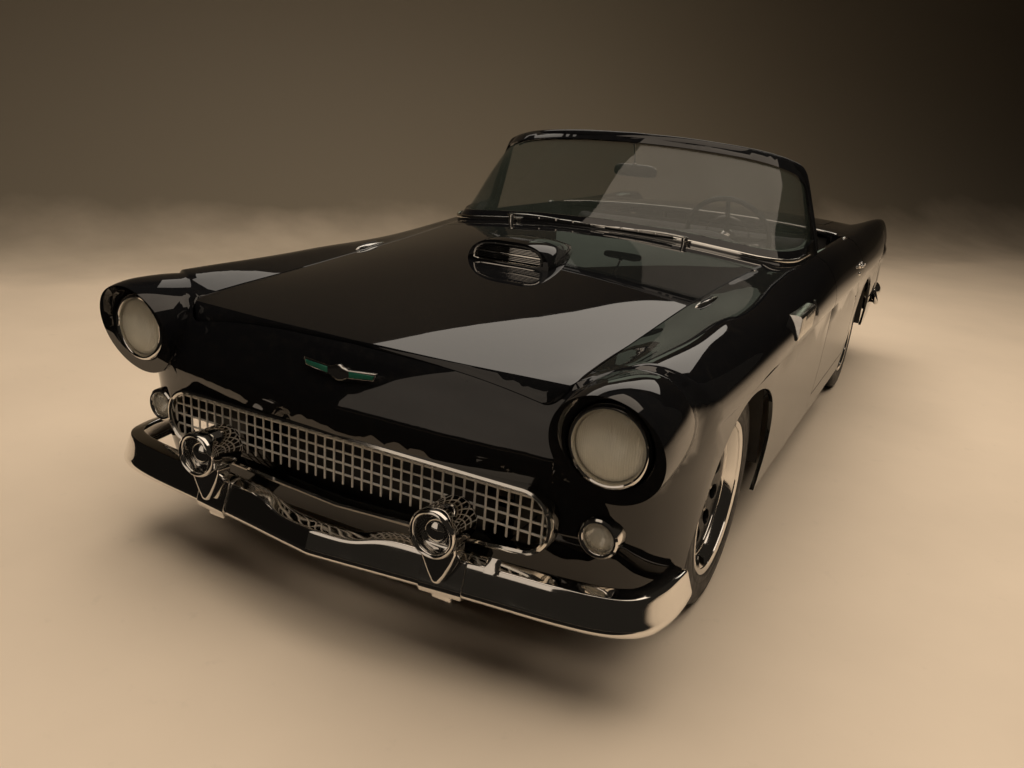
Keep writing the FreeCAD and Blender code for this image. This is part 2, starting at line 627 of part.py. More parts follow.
def wheel_house(centre_y, inner_x, outer_x, radius, low):
    """Half-round tub over a wheel with a flat inner wall."""
    outer = cylinder(radius + 6, V(inner_x - 6, centre_y, 330), X_AXIS, outer_x - inner_x + 6)
    outer = outer.fuse(box(inner_x - 6, outer_x, centre_y - radius - 6, centre_y + radius + 6, low, 330))
    inner = cylinder(radius, V(inner_x, centre_y, 330), X_AXIS, outer_x - inner_x + 100)
    inner = inner.fuse(box(inner_x, outer_x + 100, centre_y - radius, centre_y + radius, low - 100, 330))
    return outer.cut(inner).cut(box(0, 1000, centre_y - 900, centre_y + 900, -400, low))


front_tub = wheel_house(front_axle_y, 446.0, 836.0, 400.0, 296.0)
rear_tub = wheel_house(rear_axle_y, 560.0, 846.0, 352.0, 300.0)
rear_tub = rear_tub.cut(box(430, 600, rear_axle_y - 60, rear_axle_y + 60, 190, 480))
apron = box(440, 446, -1960, firewall_y - skin, 330, apron_top_z)
apron = apron.cut(cylinder(400.0, V(430, front_axle_y, 330), X_AXIS, 30.0))
for z in (330, apron_top_z):
    apron = apron.fuse(box(420, 446, -1960, firewall_y - skin, z - 6, z))
arm_gap = box(380, 600, front_axle_y - 60, front_axle_y + 60, 190, 480)
PIECES["front_wheel_houses"] = pair(front_tub.fuse(apron).cut(arm_gap))
trunk_floor = box(-570, 570, seat_back_wall_y + skin, 2030, 450, 460)
trunk_floor = trunk_floor.fuse(box(-570, 570, 2024, 2034, 450, 680)).fuse(rear_tub).fuse(mirrored(rear_tub))
PIECES["trunk_floor"] = trunk_floor

# Frame, engine block, axles and springs
rail_inner_x, rail_outer_x = 330.0, 400.0
horn_front_y = -2120.0
rail = box(rail_inner_x, rail_outer_x, -1960, 2040, 190, floor_z)
rail = rail.cut(box(rail_inner_x, rail_outer_x, 960, 1420, 180, 220))
frame_rails = rail.fuse(mirrored(rail))
for y in (-1960.0, -1900.0, -1700.0, -1030.0, -540.0, 300.0, 820.0, 1560.0, 1980.0):
    frame_rails = frame_rails.fuse(box(-rail_outer_x, rail_outer_x, y, y + 60, 200, 250))
horns = box(rail_inner_x, rail_outer_x, horn_front_y, -1960, 205, 246)
rear_horns = box(rail_inner_x, rail_outer_x, 2040, 2144, 212, 262)
horns = horns.fuse(rear_horns)
frame_rails = frame_rails.fuse(horns).fuse(mirrored(horns))
PIECES["chassis_frame"] = frame_rails.removeSplitter()
engine = box(-230, 230, -1560, -700, 250, 640).fuse(box(-300, 300, -1500, -800, 560, 700))
engine = engine.fuse(cylinder(160.0, V(0, -1400, 700), Z_AXIS, 70.0))
PIECES["engine_block"] = engine.removeSplitter()
radiator = box(-330, 330, -1900, -1840, 250, 690)
PIECES["radiator"] = radiator

axle_z = tyre_radius
stub_end = half_track + 10.0 - fit
rear_axle = cylinder(38.0, V(-620, rear_axle_y, axle_z), X_AXIS, 1240.0)
rear_axle = rear_axle.fuse(Part.makeSphere(115.0, V(0, rear_axle_y, axle_z)))
rear_axle = rear_axle.fuse(cylinder(55.0, V(0, rear_axle_y - 220, axle_z), Y_AXIS, 120.0))
for side in (-1, 1):
    drum = cylinder(brake_radius, V(side * 610 - 20, rear_axle_y, axle_z), X_AXIS, 40.0)
    half_shaft = cylinder(28.0, V(side * 600, rear_axle_y, axle_z), X_AXIS * side, stub_end - 600)
    rear_axle = rear_axle.fuse(drum).fuse(half_shaft)
PIECES["rear_axle"] = rear_axle
spring = box(470, 530, 810, 1650, 268, 284)
springs = box(470, 530, 860, 1600, 258, 268).fuse(spring).fuse(box(470, 530, 810, 840, 258, 450))
springs = springs.fuse(box(470, 530, 1620, 1650, 258, 450))
PIECES["leaf_springs"] = pair(springs)
drive_shaft = cylinder(38.0, V(0, -540, 300), Y_AXIS, rear_axle_y - 220 + 540)
PIECES["drive_shaft"] = drive_shaft
arm_low = box(rail_outer_x, kingpin_x, front_axle_y - 18, front_axle_y + 18, 208, 234)
arm_high = box(rail_outer_x + 4, kingpin_x, front_axle_y - 18, front_axle_y + 18, 412, 432)
arm_ends = cylinder(18.0, V(kingpin_x, front_axle_y, 208), Z_AXIS, 26.0)
arm_ends = arm_ends.fuse(cylinder(18.0, V(kingpin_x, front_axle_y, 412), Z_AXIS, 20.0))
strut = rod(V(430, front_axle_y, 232), V(430, front_axle_y, 470), 30.0)
front_arms = arm_low.fuse(strut).fuse(arm_high).fuse(arm_ends)
PIECES["front_suspension"] = pair(front_arms)

upright = box(kingpin_x - 14, kingpin_x + 20, front_axle_y - 34, front_axle_y + 34, 240, 406)
disc = cylinder(brake_radius, V(kingpin_x + 24, front_axle_y, axle_z), X_AXIS, 24.0)
stub = cylinder(26.0, V(kingpin_x, front_axle_y, axle_z), X_AXIS, stub_end - kingpin_x)
kingpin = cylinder(16.0, V(kingpin_x, front_axle_y, 234 + fit), Z_AXIS, 178 - 2 * fit)
knuckle = upright.fuse(disc).fuse(stub).fuse(kingpin)
PIECES["knuckle_left"] = knuckle
PIECES["knuckle_right"] = mirrored(knuckle)

# Wheels
half_width = tyre_width / 2


def tyre_solid():
    bead, shoulder = half_width - 10, half_width - 34
    profile = [(tyre_bore_radius, -bead), (rim_lip_radius + 2, -bead), (tyre_radius - 34, -half_width),
               (tyre_radius - 14, -half_width + 5), (tyre_radius - 2, -half_width + 20), (tyre_radius, -shoulder),
               (tyre_radius, shoulder), (tyre_radius - 2, half_width - 20), (tyre_radius - 14, half_width - 5),
               (tyre_radius - 34, half_width), (rim_lip_radius + 2, bead), (tyre_bore_radius, bead)]
    return revolved(profile, ORIGIN, "X")


def rim_solid():
    """Wheel for the left side with its outer face at +X."""
    edge = half_width - 10 + fit
    bore, well, lip = tyre_bore_radius, tyre_bore_radius - 30, rim_lip_radius
    barrel = [(bore - fit, -edge), (lip, -edge), (lip, -edge - 4), (bore - 14, -edge - 4), (bore - 18, -edge),
              (well, -60), (well, 50), (bore - 18, edge - 6), (bore - 8, edge + 2), (bore - 8, edge + 8),
              (lip, edge + 8), (lip, edge), (bore - fit, edge)]
    rim = revolved(barrel, ORIGIN, "X")
    disc_profile = [(0, 10), (0, 62), (hub_radius - 22, 62), (hub_radius, 52), (hub_radius + 6, 44),
                    (bore - 26, 58), (bore - 26, 40), (hub_radius + 6, 22), (hub_radius, 10)]
    spider = revolved(disc_profile, ORIGIN, "X")
    holes = None
    for i in range(wheel_hole_count):
        hole = cylinder(wheel_hole_radius, V(-10, 0, 130), X_AXIS, 120.0)
        hole.rotate(ORIGIN, X_AXIS, 360.0 * i / wheel_hole_count)
        holes = hole if holes is None else holes.fuse(hole)
    return rim.fuse(spider.cut(holes))


tyre = tyre_solid()
rim = rim_solid()
for name, side, y in (("front_left", 1, front_axle_y), ("front_right", -1, front_axle_y),
                      ("rear_left", 1, rear_axle_y), ("rear_right", -1, rear_axle_y)):
    wheel_tyre = tyre if side > 0 else mirrored(tyre)
    wheel_rim = rim if side > 0 else mirrored(rim)
    place = V(side * half_track, y, axle_z)
    PIECES["tyre_" + name] = wheel_tyre.translated(place)
    PIECES["rim_" + name] = wheel_rim.translated(place)

# Lamps
head_ring = headlamp_radius + headlamp_ring
head_lens_radius = headlamp_radius - 5.0
head_rim = revolved([(headlamp_radius - 4, headlamp_face_y - 6), (headlamp_radius + 3, headlamp_face_y - 14),
                     (head_ring, headlamp_face_y - 4), (head_ring, headlamp_face_y + 24),
                     (headlamp_radius - 4, headlamp_face_y + 24)], V(headlamp_x, 0, headlamp_z), "Y")
head_lens = revolved([(0, headlamp_face_y - 20), (30, headlamp_face_y - 18), (60, headlamp_face_y - 12),
                      (80, headlamp_face_y - 3), (head_lens_radius, headlamp_face_y),
                      (head_lens_radius, headlamp_face_y + 10), (0, headlamp_face_y + 10)],
                     V(headlamp_x, 0, headlamp_z), "Y")
bowl = revolved([(0, headlamp_face_y + 70), (40, headlamp_face_y + 62),
                 (head_lens_radius, headlamp_face_y + 14), (head_lens_radius, headlamp_face_y + 24),
                 (head_ring, headlamp_face_y + 24),
                 (head_ring, headlamp_face_y + 30), (40, headlamp_face_y + 76), (0, headlamp_face_y + 80)],
                V(headlamp_x, 0, headlamp_z), "Y")
parking_y = -2040.0
parking_ring = parking_radius + 8.0
parking_lens_radius = parking_radius - 6.0
parking_rim = revolved([(parking_lens_radius, parking_y), (parking_ring - 3, parking_y - 8),
                        (parking_ring, parking_y - 4), (parking_ring, parking_y + 60),
                        (parking_lens_radius, parking_y + 60)], V(parking_x, 0, parking_z), "Y")
parking_lens = revolved([(0, parking_y - 10), (20, parking_y - 8), (parking_lens_radius, parking_y + 2),
                         (parking_lens_radius, parking_y + 30), (0, parking_y + 30)],
                        V(parking_x, 0, parking_z), "Y")
tail_ring = tail_lamp_radius + 12.0
tail_lens_radius = tail_lamp_radius - 8.0
tail_rim = revolved([(tail_lens_radius, tail_face_y + 4), (tail_ring, tail_face_y + 4),
                     (tail_ring, tail_face_y), (tail_lamp_radius, tail_face_y),
                     (tail_lamp_radius, tail_face_y - 40),
                     (tail_lens_radius, tail_face_y - 40)], V(tail_lamp_x, 0, tail_lamp_z), "Y")
tail_lens = revolved([(0, tail_face_y + 26), (30, tail_face_y + 22), (tail_lens_radius, tail_face_y + 4),
                      (tail_lens_radius, tail_face_y - 30), (0, tail_face_y - 30)],
                     V(tail_lamp_x, 0, tail_lamp_z), "Y")
PIECES["lamp_rims"] = Part.makeCompound([pair(head_rim.fuse(bowl)), pair(parking_rim), pair(tail_rim)])
PIECES["front_lamp_lenses"] = Part.makeCompound([pair(head_lens), pair(parking_lens)])
PIECES["tail_lamp_lenses"] = pair(tail_lens)

# Grille of thin crossed bars in a bright surround, its upright bars ending free above the lower edge
surround_outer = grille_outline(fit, grille_y - 28, 40.0)
bars = []
mesh_low = grille_bottom_z + grille_free_end
bar_z = grille_top_z - grille_pitch * 0.8
while bar_z > mesh_low + grille_pitch * 0.5:
    bars.append(box(-grille_half_width, grille_half_width, grille_y - 12, grille_y - 4,
                    bar_z - grille_bar / 2, bar_z + grille_bar / 2))
    bar_z -= grille_pitch
bar_x = -grille_half_width + grille_pitch * 0.45
while bar_x < grille_half_width - grille_bar:
    bars.append(box(bar_x - grille_bar / 2, bar_x + grille_bar / 2, grille_y - 12, grille_y - 4,
                    mesh_low, grille_top_z))
    bar_x += grille_pitch
mesh = bars[0].multiFuse(bars[1:]).common(surround_outer)
PIECES["grille"] = surround_outer.cut(grille_outline(grille_surround, grille_y - 60, 100.0)).fuse(mesh)


# Bumpers as bent blades


def blade(stations, proud=0.0):
    """Loft of upright sections along a plan line: rolled foot, upright face and a top face that leans back.

    Each station is (x, y, outward x, outward y, bottom z, top z); proud grows the section all round.
    """
    wires = []
    for x, y, nx, ny, low, high in stations:
        n = V(nx, ny, 0).normalize()
        crease = low + (high - low) * blade_crease
        section = [(-14 - proud, low + 6 - proud), (2, low - proud), (10 + proud, low + 8 - proud),
                   (12 + proud, low + 22), (10 + proud, crease), (-28, high + proud),
                   (-34 - proud, high - 4 + proud), (2 - proud, crease - 8), (4 - proud, low + 24)]
        outline = [V(x, y, z) + n * out for out, z in section]
        wires.append(Part.Wire(polyline(outline + [outline[0]])))
    return Part.makeLoft(wires, True, True)


low, high = bumper_bottom_z, bumper_top_z
front_stations = [(0, -2206, 0, -1, low, high - bumper_dip), (110, -2193, 0.08, -1, low, high - bumper_dip),
                  (210, -2180, 0.10, -1, low, high), (335, -2165, 0.10, -1, low, high),
                  (485, -2149, 0.10, -1, low, high), (627, -2135, 0.12, -1, low, high),
                  (735, -2117, 0.25, -1, low, high), (802, -2090, 0.6, -1, low, high),
                  (842, -2050, 1, -0.75, low, high), (864, -1985, 1, -0.25, low + 2, high - 2),
                  (872, -1920, 1, -0.05, low + 4, high - 4), (873, -1850, 1, 0, low + 10, high - 10)]
front_bumper = both(blade(front_stations))
guard = revolved([(guard_radius, guard_tip_y + 12), (guard_radius - 3, guard_tip_y + 2),
                  (guard_radius - 8, guard_tip_y), (guard_radius - 14, guard_tip_y + 10),
                  (guard_radius - 18, guard_tip_y + 60), (0, guard_tip_y + 60), (0, -2100),
                  (guard_radius - 10, -2100), (guard_radius - 4, -2140)], V(guard_x, 0, guard_z), "Y")
dome = Part.makeSphere(guard_radius * 0.55, V(guard_x, guard_tip_y + guard_radius, guard_z))
shield = rounded_prism([V(guard_x - 52, -2196, guard_z - 40), V(guard_x + 52, -2196, guard_z - 40),
                        V(guard_x + 52, -2196, guard_z - 78), V(guard_x, -2196, guard_foot_z),
                        V(guard_x - 52, -2196, guard_z - 78)], [8.0, 8.0, 24.0, 16.0, 24.0], V(0, 60, 0))
guard_y = -2162.0
saddle = blade([(guard_x - saddle_half_width, guard_y - 6, 0.1, -1, low, high),
                (guard_x + saddle_half_width, guard_y + 6, 0.1, -1, low, high)], 5.0)
bracket = box(guard_x - 34, guard_x + 26, guard_y + 2, -2120 - fit, rocker_bottom_z + 14, low + 40)
guard = guard.fuse(dome).fuse(shield).fuse(saddle).fuse(bracket)
PIECES["front_bumper"] = front_bumper.fuse(guard).fuse(mirrored(guard))

low, high = rear_bumper_bottom_z, rear_bumper_top_z
rear_stations = [(360, 2196, -0.03, 1, low, high), (560, 2196, 0.03, 1, low, high),
                 (720, 2186, 0.2, 1, low, high), (820, 2150, 0.6, 1, low, high),
                 (866, 2080, 1, 0.5, low + 6, high - 4), (884, 1960, 1, 0.05, low + 20, high - 20)]
rear_blade = blade(rear_stations).fuse(box(334, 396, 2144, 2186, 220, 400)).cut(OUTER)
PIECES["rear_bumpers"] = pair(rear_blade)
pipe = tube(30.0, 26.0, V(200, -500, 162), Y_AXIS, 2600.0)
for y in (310.0, 1570.0, 1990.0):
    pipe = pipe.fuse(box(192, 208, y, y + 40, 189, 200))
PIECES["exhaust_pipes"] = pair(pipe)

# Cabin
wheel_centre = V(348, 180, 864)
column_axis = V(0, -math.cos(math.radians(column_lean)), -math.sin(math.radians(column_lean)))
column_start = wheel_centre + column_axis * (50 + fit)
column = cylinder(column_radius, column_start, column_axis, 860.0).cut(PIECES["floor_pan"])
column = column.cut(box(0, 1000, -2000, firewall_y, 0, 2000))
dash = rounded_prism([V(0, -372, 880), V(0, -250, 880), V(0, -186, 830), V(0, -184, 790), V(0, -206, 690),
                      V(0, -330, 690)],
                     [8.0, 30.0, 20.0, 14.0, 20.0, 8.0], V(floor_half_width, 0, 0)).common(INNER)
PIECES["dashboard"] = both(dash).cut(cylinder(column_radius + fit, wheel_centre, column_axis, 900.0))
PIECES["steering_column"] = column
ring = Part.makeTorus(steering_radius, steering_tube, wheel_centre, column_axis)
hub = cylinder(40.0, wheel_centre, column_axis, 50.0)
spokes = []
for angle in (0.0, 180.0, 90.0):
    spoke = box(30, steering_radius - 6, -9, 9, 0, 8)
    spoke.rotate(ORIGIN, Z_AXIS, angle)
    spokes.append(spoke)
wheel_spokes = spokes[0].multiFuse(spokes[1:])
wheel_spokes.Placement = FreeCAD.Placement(wheel_centre, FreeCAD.Rotation(Z_AXIS, column_axis))
PIECES["steering_wheel"] = ring.fuse(hub).fuse(wheel_spokes)
seat_width = V(2 * seat_half_width, 0, 0)
seat_split_z = 446.0
cushion = rounded_prism([V(-seat_half_width, 150, floor_z + 80), V(-seat_half_width, 700, floor_z + 60),
                         V(-seat_half_width, 700, floor_z + 210), V(-seat_half_width, 150, floor_z + 240)],
                        [30.0, 20.0, 20.0, 50.0], seat_width)
cushion = cushion.cut(box(-700, 700, 0, 800, 0, seat_split_z))
seat_base = box(-620, -140, 200, 690, floor_top_z, seat_split_z)
PIECES["seat_cushion"] = cushion.fuse(seat_base).fuse(mirrored(seat_base))
PIECES["seat_back"] = rounded_prism([V(-seat_half_width, 560, 480), V(-seat_half_width, 690, 473),
                                     V(-seat_half_width, 766, 842), V(-seat_half_width, 680, 848)],
                                    [10.0, 10.0, 24.0, 40.0], seat_width)
handle_piece = rod(V(884, 610, handle_z), V(884, 700, handle_z), 6.0)
for y in (620, 690):
    handle_piece = handle_piece.fuse(cylinder(12.0, V(860, y, handle_z), X_AXIS, 30.0))
handle_piece = handle_piece.cut(OUTER)
PIECES["door_handle_left"] = handle_piece
PIECES["door_handle_right"] = mirrored(handle_piece)

os.makedirs("parts", exist_ok=True)
for name, shape in PIECES.items():
    shape.exportStep("parts/" + name + ".step")
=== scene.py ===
"""Looks of a lowered open two-seat hot rod: paint, bright metal, glass, cabin, wheels and a plain studio."""

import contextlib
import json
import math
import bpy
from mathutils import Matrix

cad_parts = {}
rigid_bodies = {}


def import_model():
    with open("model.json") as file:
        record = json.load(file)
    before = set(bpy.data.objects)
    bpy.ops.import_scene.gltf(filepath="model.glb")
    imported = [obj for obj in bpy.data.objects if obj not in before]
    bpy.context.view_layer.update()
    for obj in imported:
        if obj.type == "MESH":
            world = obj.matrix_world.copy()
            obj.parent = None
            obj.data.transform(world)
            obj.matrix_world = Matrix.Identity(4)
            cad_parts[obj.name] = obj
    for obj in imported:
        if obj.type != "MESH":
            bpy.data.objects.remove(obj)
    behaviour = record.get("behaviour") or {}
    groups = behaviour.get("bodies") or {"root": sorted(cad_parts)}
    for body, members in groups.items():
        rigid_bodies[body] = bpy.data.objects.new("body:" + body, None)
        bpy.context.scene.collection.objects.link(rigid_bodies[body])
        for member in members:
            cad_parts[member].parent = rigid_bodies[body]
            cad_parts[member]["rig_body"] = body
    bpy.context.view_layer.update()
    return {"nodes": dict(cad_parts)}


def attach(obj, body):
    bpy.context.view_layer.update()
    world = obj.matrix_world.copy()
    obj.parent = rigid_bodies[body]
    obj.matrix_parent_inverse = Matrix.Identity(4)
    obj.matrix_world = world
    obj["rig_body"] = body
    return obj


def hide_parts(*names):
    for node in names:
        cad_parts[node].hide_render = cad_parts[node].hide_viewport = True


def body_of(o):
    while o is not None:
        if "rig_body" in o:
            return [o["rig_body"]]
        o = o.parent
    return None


bl_info = {
    "name": "Hot rod looks",
    "version": (1, 0, 0),
    "blender": (4, 2, 0),
    "location": "View3D > Sidebar > Hot rod",
    "description": "Builds the visible detail of an open two-seat hot rod round its frame",
    "category": "Object",
}

import bmesh
import bpy
import numpy
from mathutils import Matrix, Vector, kdtree
from mathutils.bvhtree import BVHTree

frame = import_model()


def at(x, y, z):
    return Vector((x, y, z))


def mm(*rows):
    """Rows of lengths given in millimetres, in metres."""
    return [tuple(value / 1000.0 for value in row) for row in rows]


X, Y, Z = at(1, 0, 0), at(0, 1, 0), at(0, 0, 1)
SIDES = (("left", 1), ("right", -1))

# Shader maths

class Flow:
    """A shader socket that the usual arithmetic works on."""

    def __init__(self, shader, socket):
        self.shader = shader
        self.socket = socket

    def math(self, operation, *others):
        inputs = {index: value for index, value in enumerate((self,) + others)}
        return self.shader.node("ShaderNodeMath", {"operation": operation}, inputs)

    def __add__(self, other):
        return self.math("ADD", other)

    def __sub__(self, other):
        return self.math("SUBTRACT", other)

    def __mul__(self, other):
        return self.math("MULTIPLY", other)


class Shader:
    """A material under construction: nodes come from one method, and the surface from another."""

    def __init__(self, name):
        self.material = bpy.data.materials.new(name)
        self.material.use_nodes = True
        self.tree = self.material.node_tree
        self.tree.nodes.clear()

    def node(self, kind, settings=None, inputs=None, output=0):
        made = self.tree.nodes.new(kind)
        for key, value in (settings or {}).items():
            setattr(made, key, value)
        for key, value in (inputs or {}).items():
            if isinstance(value, Flow):
                self.tree.links.new(value.socket, made.inputs[key])
            else:
                made.inputs[key].default_value = value
        return Flow(self, made.outputs[output])

    def place(self, scale=(1.0, 1.0, 1.0)):
        """Object coordinates, scaled."""
        spot = self.node("ShaderNodeTexCoord", output="Object")
        return self.node("ShaderNodeMapping", inputs={"Vector": spot, "Scale": scale})

    def axes(self):
        """X, Y and Z of the object coordinates as values."""
        spot = self.node("ShaderNodeTexCoord", output="Object")
        return [self.node("ShaderNodeSeparateXYZ", inputs={0: spot}, output=index) for index in range(3)]

    def noise(self, scale, detail=3.0, rough=0.5, stretch=(1.0, 1.0, 1.0)):
        return self.node("ShaderNodeTexNoise", inputs={"Vector": self.place(stretch), "Scale": scale, "Detail": detail,
            "Roughness": rough})

    def remap(self, value, low, high, out_low, out_high):
        return self.node("ShaderNodeMapRange", {"clamp": True}, {0: value, 1: low, 2: high, 3: out_low, 4: out_high})

    def patches(self, low, high, scale, detail=3.0, rough=0.5, stretch=(1.0, 1.0, 1.0)):
        """Noise between two levels, spread over 0 to 1."""
        return self.remap(self.noise(scale, detail, rough, stretch), low, high, 0.0, 1.0)

    def mix(self, factor, first, second):
        """Colour mix by a value."""
        made = self.tree.nodes.new("ShaderNodeMix")
        made.data_type = "RGBA"
        for index, value in ((0, factor), (6, first), (7, second)):
            if isinstance(value, Flow):
                self.tree.links.new(value.socket, made.inputs[index])
            else:
                made.inputs[index].default_value = value if index == 0 else (*value[:3], 1.0)
        return Flow(self, made.outputs[2])

    def bump(self, height, strength, distance=0.001):
        return self.node("ShaderNodeBump", inputs={"Height": height, "Strength": strength, "Distance": distance})

    def surface(self, **inputs):
        """The principled surface, with each input by its name."""
        values = {key.replace("_", " "): value for key, value in inputs.items()}
        return self.finish(self.node("ShaderNodeBsdfPrincipled", inputs=values))

    def finish(self, shader):
        out = self.tree.nodes.new("ShaderNodeOutputMaterial")
        self.tree.links.new(shader.socket, out.inputs["Surface"])
        return self.material


# Materials

def shade(colour, factor, lift=0.0):
    return tuple(c * factor + lift for c in colour)


def paint_material(colour=(0.0045, 0.0045, 0.005), name="black_gloss_paint"):
    """Deep gloss paint under clear coat, with faint dust on it and a little orange peel."""
    s = Shader(name)
    dust = s.patches(0.5, 0.78, 38.0, 6.0, 0.62)
    film = s.patches(0.35, 0.75, 3.2, 4.0)
    body = s.mix(dust * 0.35, colour, (0.016, 0.014, 0.012))
    peel = s.noise(240.0, 2.0)
    return s.surface(Base_Color=body, Roughness=s.remap(film, 0.0, 1.0, 0.4, 0.5), Specular_IOR_Level=0.0,
        Coat_Weight=1.0, Coat_Roughness=0.012, Coat_IOR=1.55, Normal=s.bump(peel, 0.012, 0.0006))


def chrome_material(name="bright_chrome", tint=(0.82, 0.8, 0.77), rough=(0.03, 0.08)):
    """Plated metal with faint smears and a few specks of dirt."""
    s = Shader(name)
    smear = s.patches(0.35, 0.7, 14.0, 5.0, 0.6)
    speck = s.patches(0.66, 0.78, 160.0, 3.0, 0.7)
    tone = s.mix(smear * 0.5, tint, shade(tint, 0.9))
    tone = s.mix(speck * 0.4, tone, (0.25, 0.23, 0.2))
    return s.surface(Base_Color=tone, Metallic=1.0, Roughness=s.remap(smear, 0.0, 1.0, *rough) + speck * 0.12)


def satin_metal(name, colour, rough, streak=(1.0, 1.0, 1.0), metallic=1.0, grain=90.0):
    """Bare or painted metal with fine streaks, stains and a worn tone."""
    s = Shader(name)
    lines = s.noise(grain, 4.0, 0.6, streak)
    stain = s.patches(0.4, 0.7, 7.0, 5.0, 0.6)
    tone = s.mix(lines * 0.6, colour, shade(colour, 0.6))
    tone = s.mix(stain * 0.35, tone, shade(colour, 0.45, 0.01))
    return s.surface(Base_Color=tone, Metallic=metallic, Roughness=s.remap(lines, 0.3, 0.7, rough * 0.8, rough * 1.25),
        Normal=s.bump(lines, 0.08, 0.0006))


def grime_material(name, colour, rough=0.65):
    """Underside paint or coating with road film and chips."""
    s = Shader(name)
    film = s.patches(0.35, 0.72, 5.0, 6.0, 0.62)
    chips = s.patches(0.62, 0.72, 55.0, 4.0, 0.6)
    tone = s.mix(film * 0.6, colour, (0.055, 0.047, 0.038))
    tone = s.mix(chips * 0.5, tone, shade(colour, 2.2, 0.01))
    return s.surface(Base_Color=tone, Roughness=s.remap(film, 0.0, 1.0, rough * 0.75, rough * 1.2),
        Normal=s.bump(s.noise(70.0, 5.0), 0.25, 0.0012))


def rubber_material(name="tyre_rubber"):
    """Tyre rubber with fine moulded rings, a dusty tread and a faint bloom."""
    s = Shader(name)
    bloom = s.patches(0.4, 0.75, 22.0, 5.0, 0.6)
    tone = s.mix(bloom * 0.5, (0.006, 0.006, 0.0062), (0.018, 0.017, 0.016))
    dust = s.patches(0.55, 0.8, 120.0, 4.0, 0.6)
    tone = s.mix(dust * 0.3, tone, (0.05, 0.045, 0.038))
    return s.surface(Base_Color=tone, Roughness=s.remap(bloom, 0.0, 1.0, 0.42, 0.62), Specular_IOR_Level=0.35,
        Normal=s.bump(s.noise(300.0, 3.0), 0.12, 0.0005))


def leather_material(name, colour, pores=420.0):
    """Upholstery hide or vinyl: fine cells, creases and a slight sheen where it is worn."""
    s = Shader(name)
    cells = s.node("ShaderNodeTexVoronoi", {"feature": "DISTANCE_TO_EDGE"}, {"Vector": s.place(), "Scale": pores})
    crease = s.noise(26.0, 6.0, 0.65)
    wear = s.patches(0.4, 0.7, 5.0, 4.0)
    tone = s.mix(wear * 0.5, colour, shade(colour, 1.7, 0.004))
    height = s.remap(cells, 0.0, 0.12, 0.0, 1.0) + crease * 1.2
    return s.surface(Base_Color=tone, Roughness=s.remap(wear, 0.0, 1.0, 0.5, 0.38), Specular_IOR_Level=0.45,
        Sheen_Weight=0.06, Normal=s.bump(height, 0.35, 0.0004))


def carpet_material(name="cabin_carpet", colour=(0.016, 0.015, 0.014)):
    s = Shader(name)
    tuft = s.noise(700.0, 3.0, 0.7)
    lay = s.patches(0.35, 0.7, 6.0, 4.0)
    tone = s.mix(tuft, shade(colour, 0.5), shade(colour, 1.9))
    tone = s.mix(lay * 0.4, tone, (0.03, 0.027, 0.023))
    return s.surface(Base_Color=tone, Roughness=0.95, Sheen_Weight=0.3, Normal=s.bump(tuft, 0.9, 0.002))


def moulded_material(name, colour, rough=0.45, grain=260.0):
    """Moulded or painted trim with a fine pebble grain and handling marks."""
    s = Shader(name)
    pebble = s.noise(grain, 4.0, 0.6)
    marks = s.patches(0.45, 0.72, 9.0, 5.0, 0.65)
    tone = s.mix(marks * 0.4, colour, shade(colour, 1.6, 0.006))
    return s.surface(Base_Color=tone, Roughness=s.remap(marks, 0.0, 1.0, rough, rough * 1.3),
        Normal=s.bump(pebble, 0.2, 0.0004))


def glass_material(name, tint, alpha, rough=0.004):
    """Thin tinted glass: a glossy sheet that lets most light through, with faint wiping haze."""
    s = Shader(name)
    haze = s.patches(0.45, 0.75, 5.0, 5.0, 0.6, (1.0, 1.0, 2.2))
    return s.surface(Base_Color=s.mix(haze * 0.4, tint, tuple(min(1.0, c * 1.5 + 0.01) for c in tint)),
        Roughness=rough, Alpha=s.remap(haze, 0.0, 1.0, alpha, min(1.0, alpha + 0.05)), IOR=1.6, Specular_IOR_Level=1.0)


def lens_material(name, tint=(0.9, 0.9, 0.86), alpha=0.22, flutes=None):
    """Moulded lamp glass; flutes gives the spacing of its upright ribs in metres."""
    s = Shader(name)
    x = s.axes()[0]
    ripple = s.noise(160.0, 3.0)
    height = ripple * 0.1
    if flutes:
        wave = (x * (2 * math.pi / flutes)).math("SINE")
        height = height + wave * 0.5
    film = s.patches(0.4, 0.7, 30.0, 4.0)
    return s.surface(Base_Color=s.mix(film * 0.3, tint, shade(tint, 0.8)), Roughness=0.03,
        Alpha=s.remap(film, 0.0, 1.0, alpha, alpha + 0.06), IOR=1.5, Normal=s.bump(height, 0.55, 0.0012))


def stage_material(pale, dark):
    """Pale floor with scuffs and faint stains that darkens towards the backdrop and further up it: this darkening is
    painted shade.
    """
    s = Shader("studio_floor")
    x, y, z = s.axes()
    away = y * 0.573 - x * 0.819
    blotch = s.noise(0.9, 5.0, 0.55)
    fine = s.noise(11.0, 6.0, 0.65)
    reach = away + (blotch - 0.5) * 0.9
    # The floor blends into a darker copy of its own colour towards the backdrop: painted shade
    near = s.remap(reach, 3.1, 4.9, 1.0, 0.0)
    floor = s.mix(s.remap(blotch, 0.35, 0.7, 0.0, 1.0), pale, shade(pale, 0.9))
    floor = s.mix(s.remap(fine, 0.62, 0.8, 0.0, 0.3), floor, shade(pale, 0.62))
    # The backdrop darkens further towards its top: painted shade
    shaded_backdrop = s.mix(s.remap(z, 0.0, 3.0, 0.0, 1.0), dark, shade(dark, 0.6))
    return s.surface(Base_Color=s.mix(near, shaded_backdrop, floor), Roughness=0.62, Specular_IOR_Level=0.3)


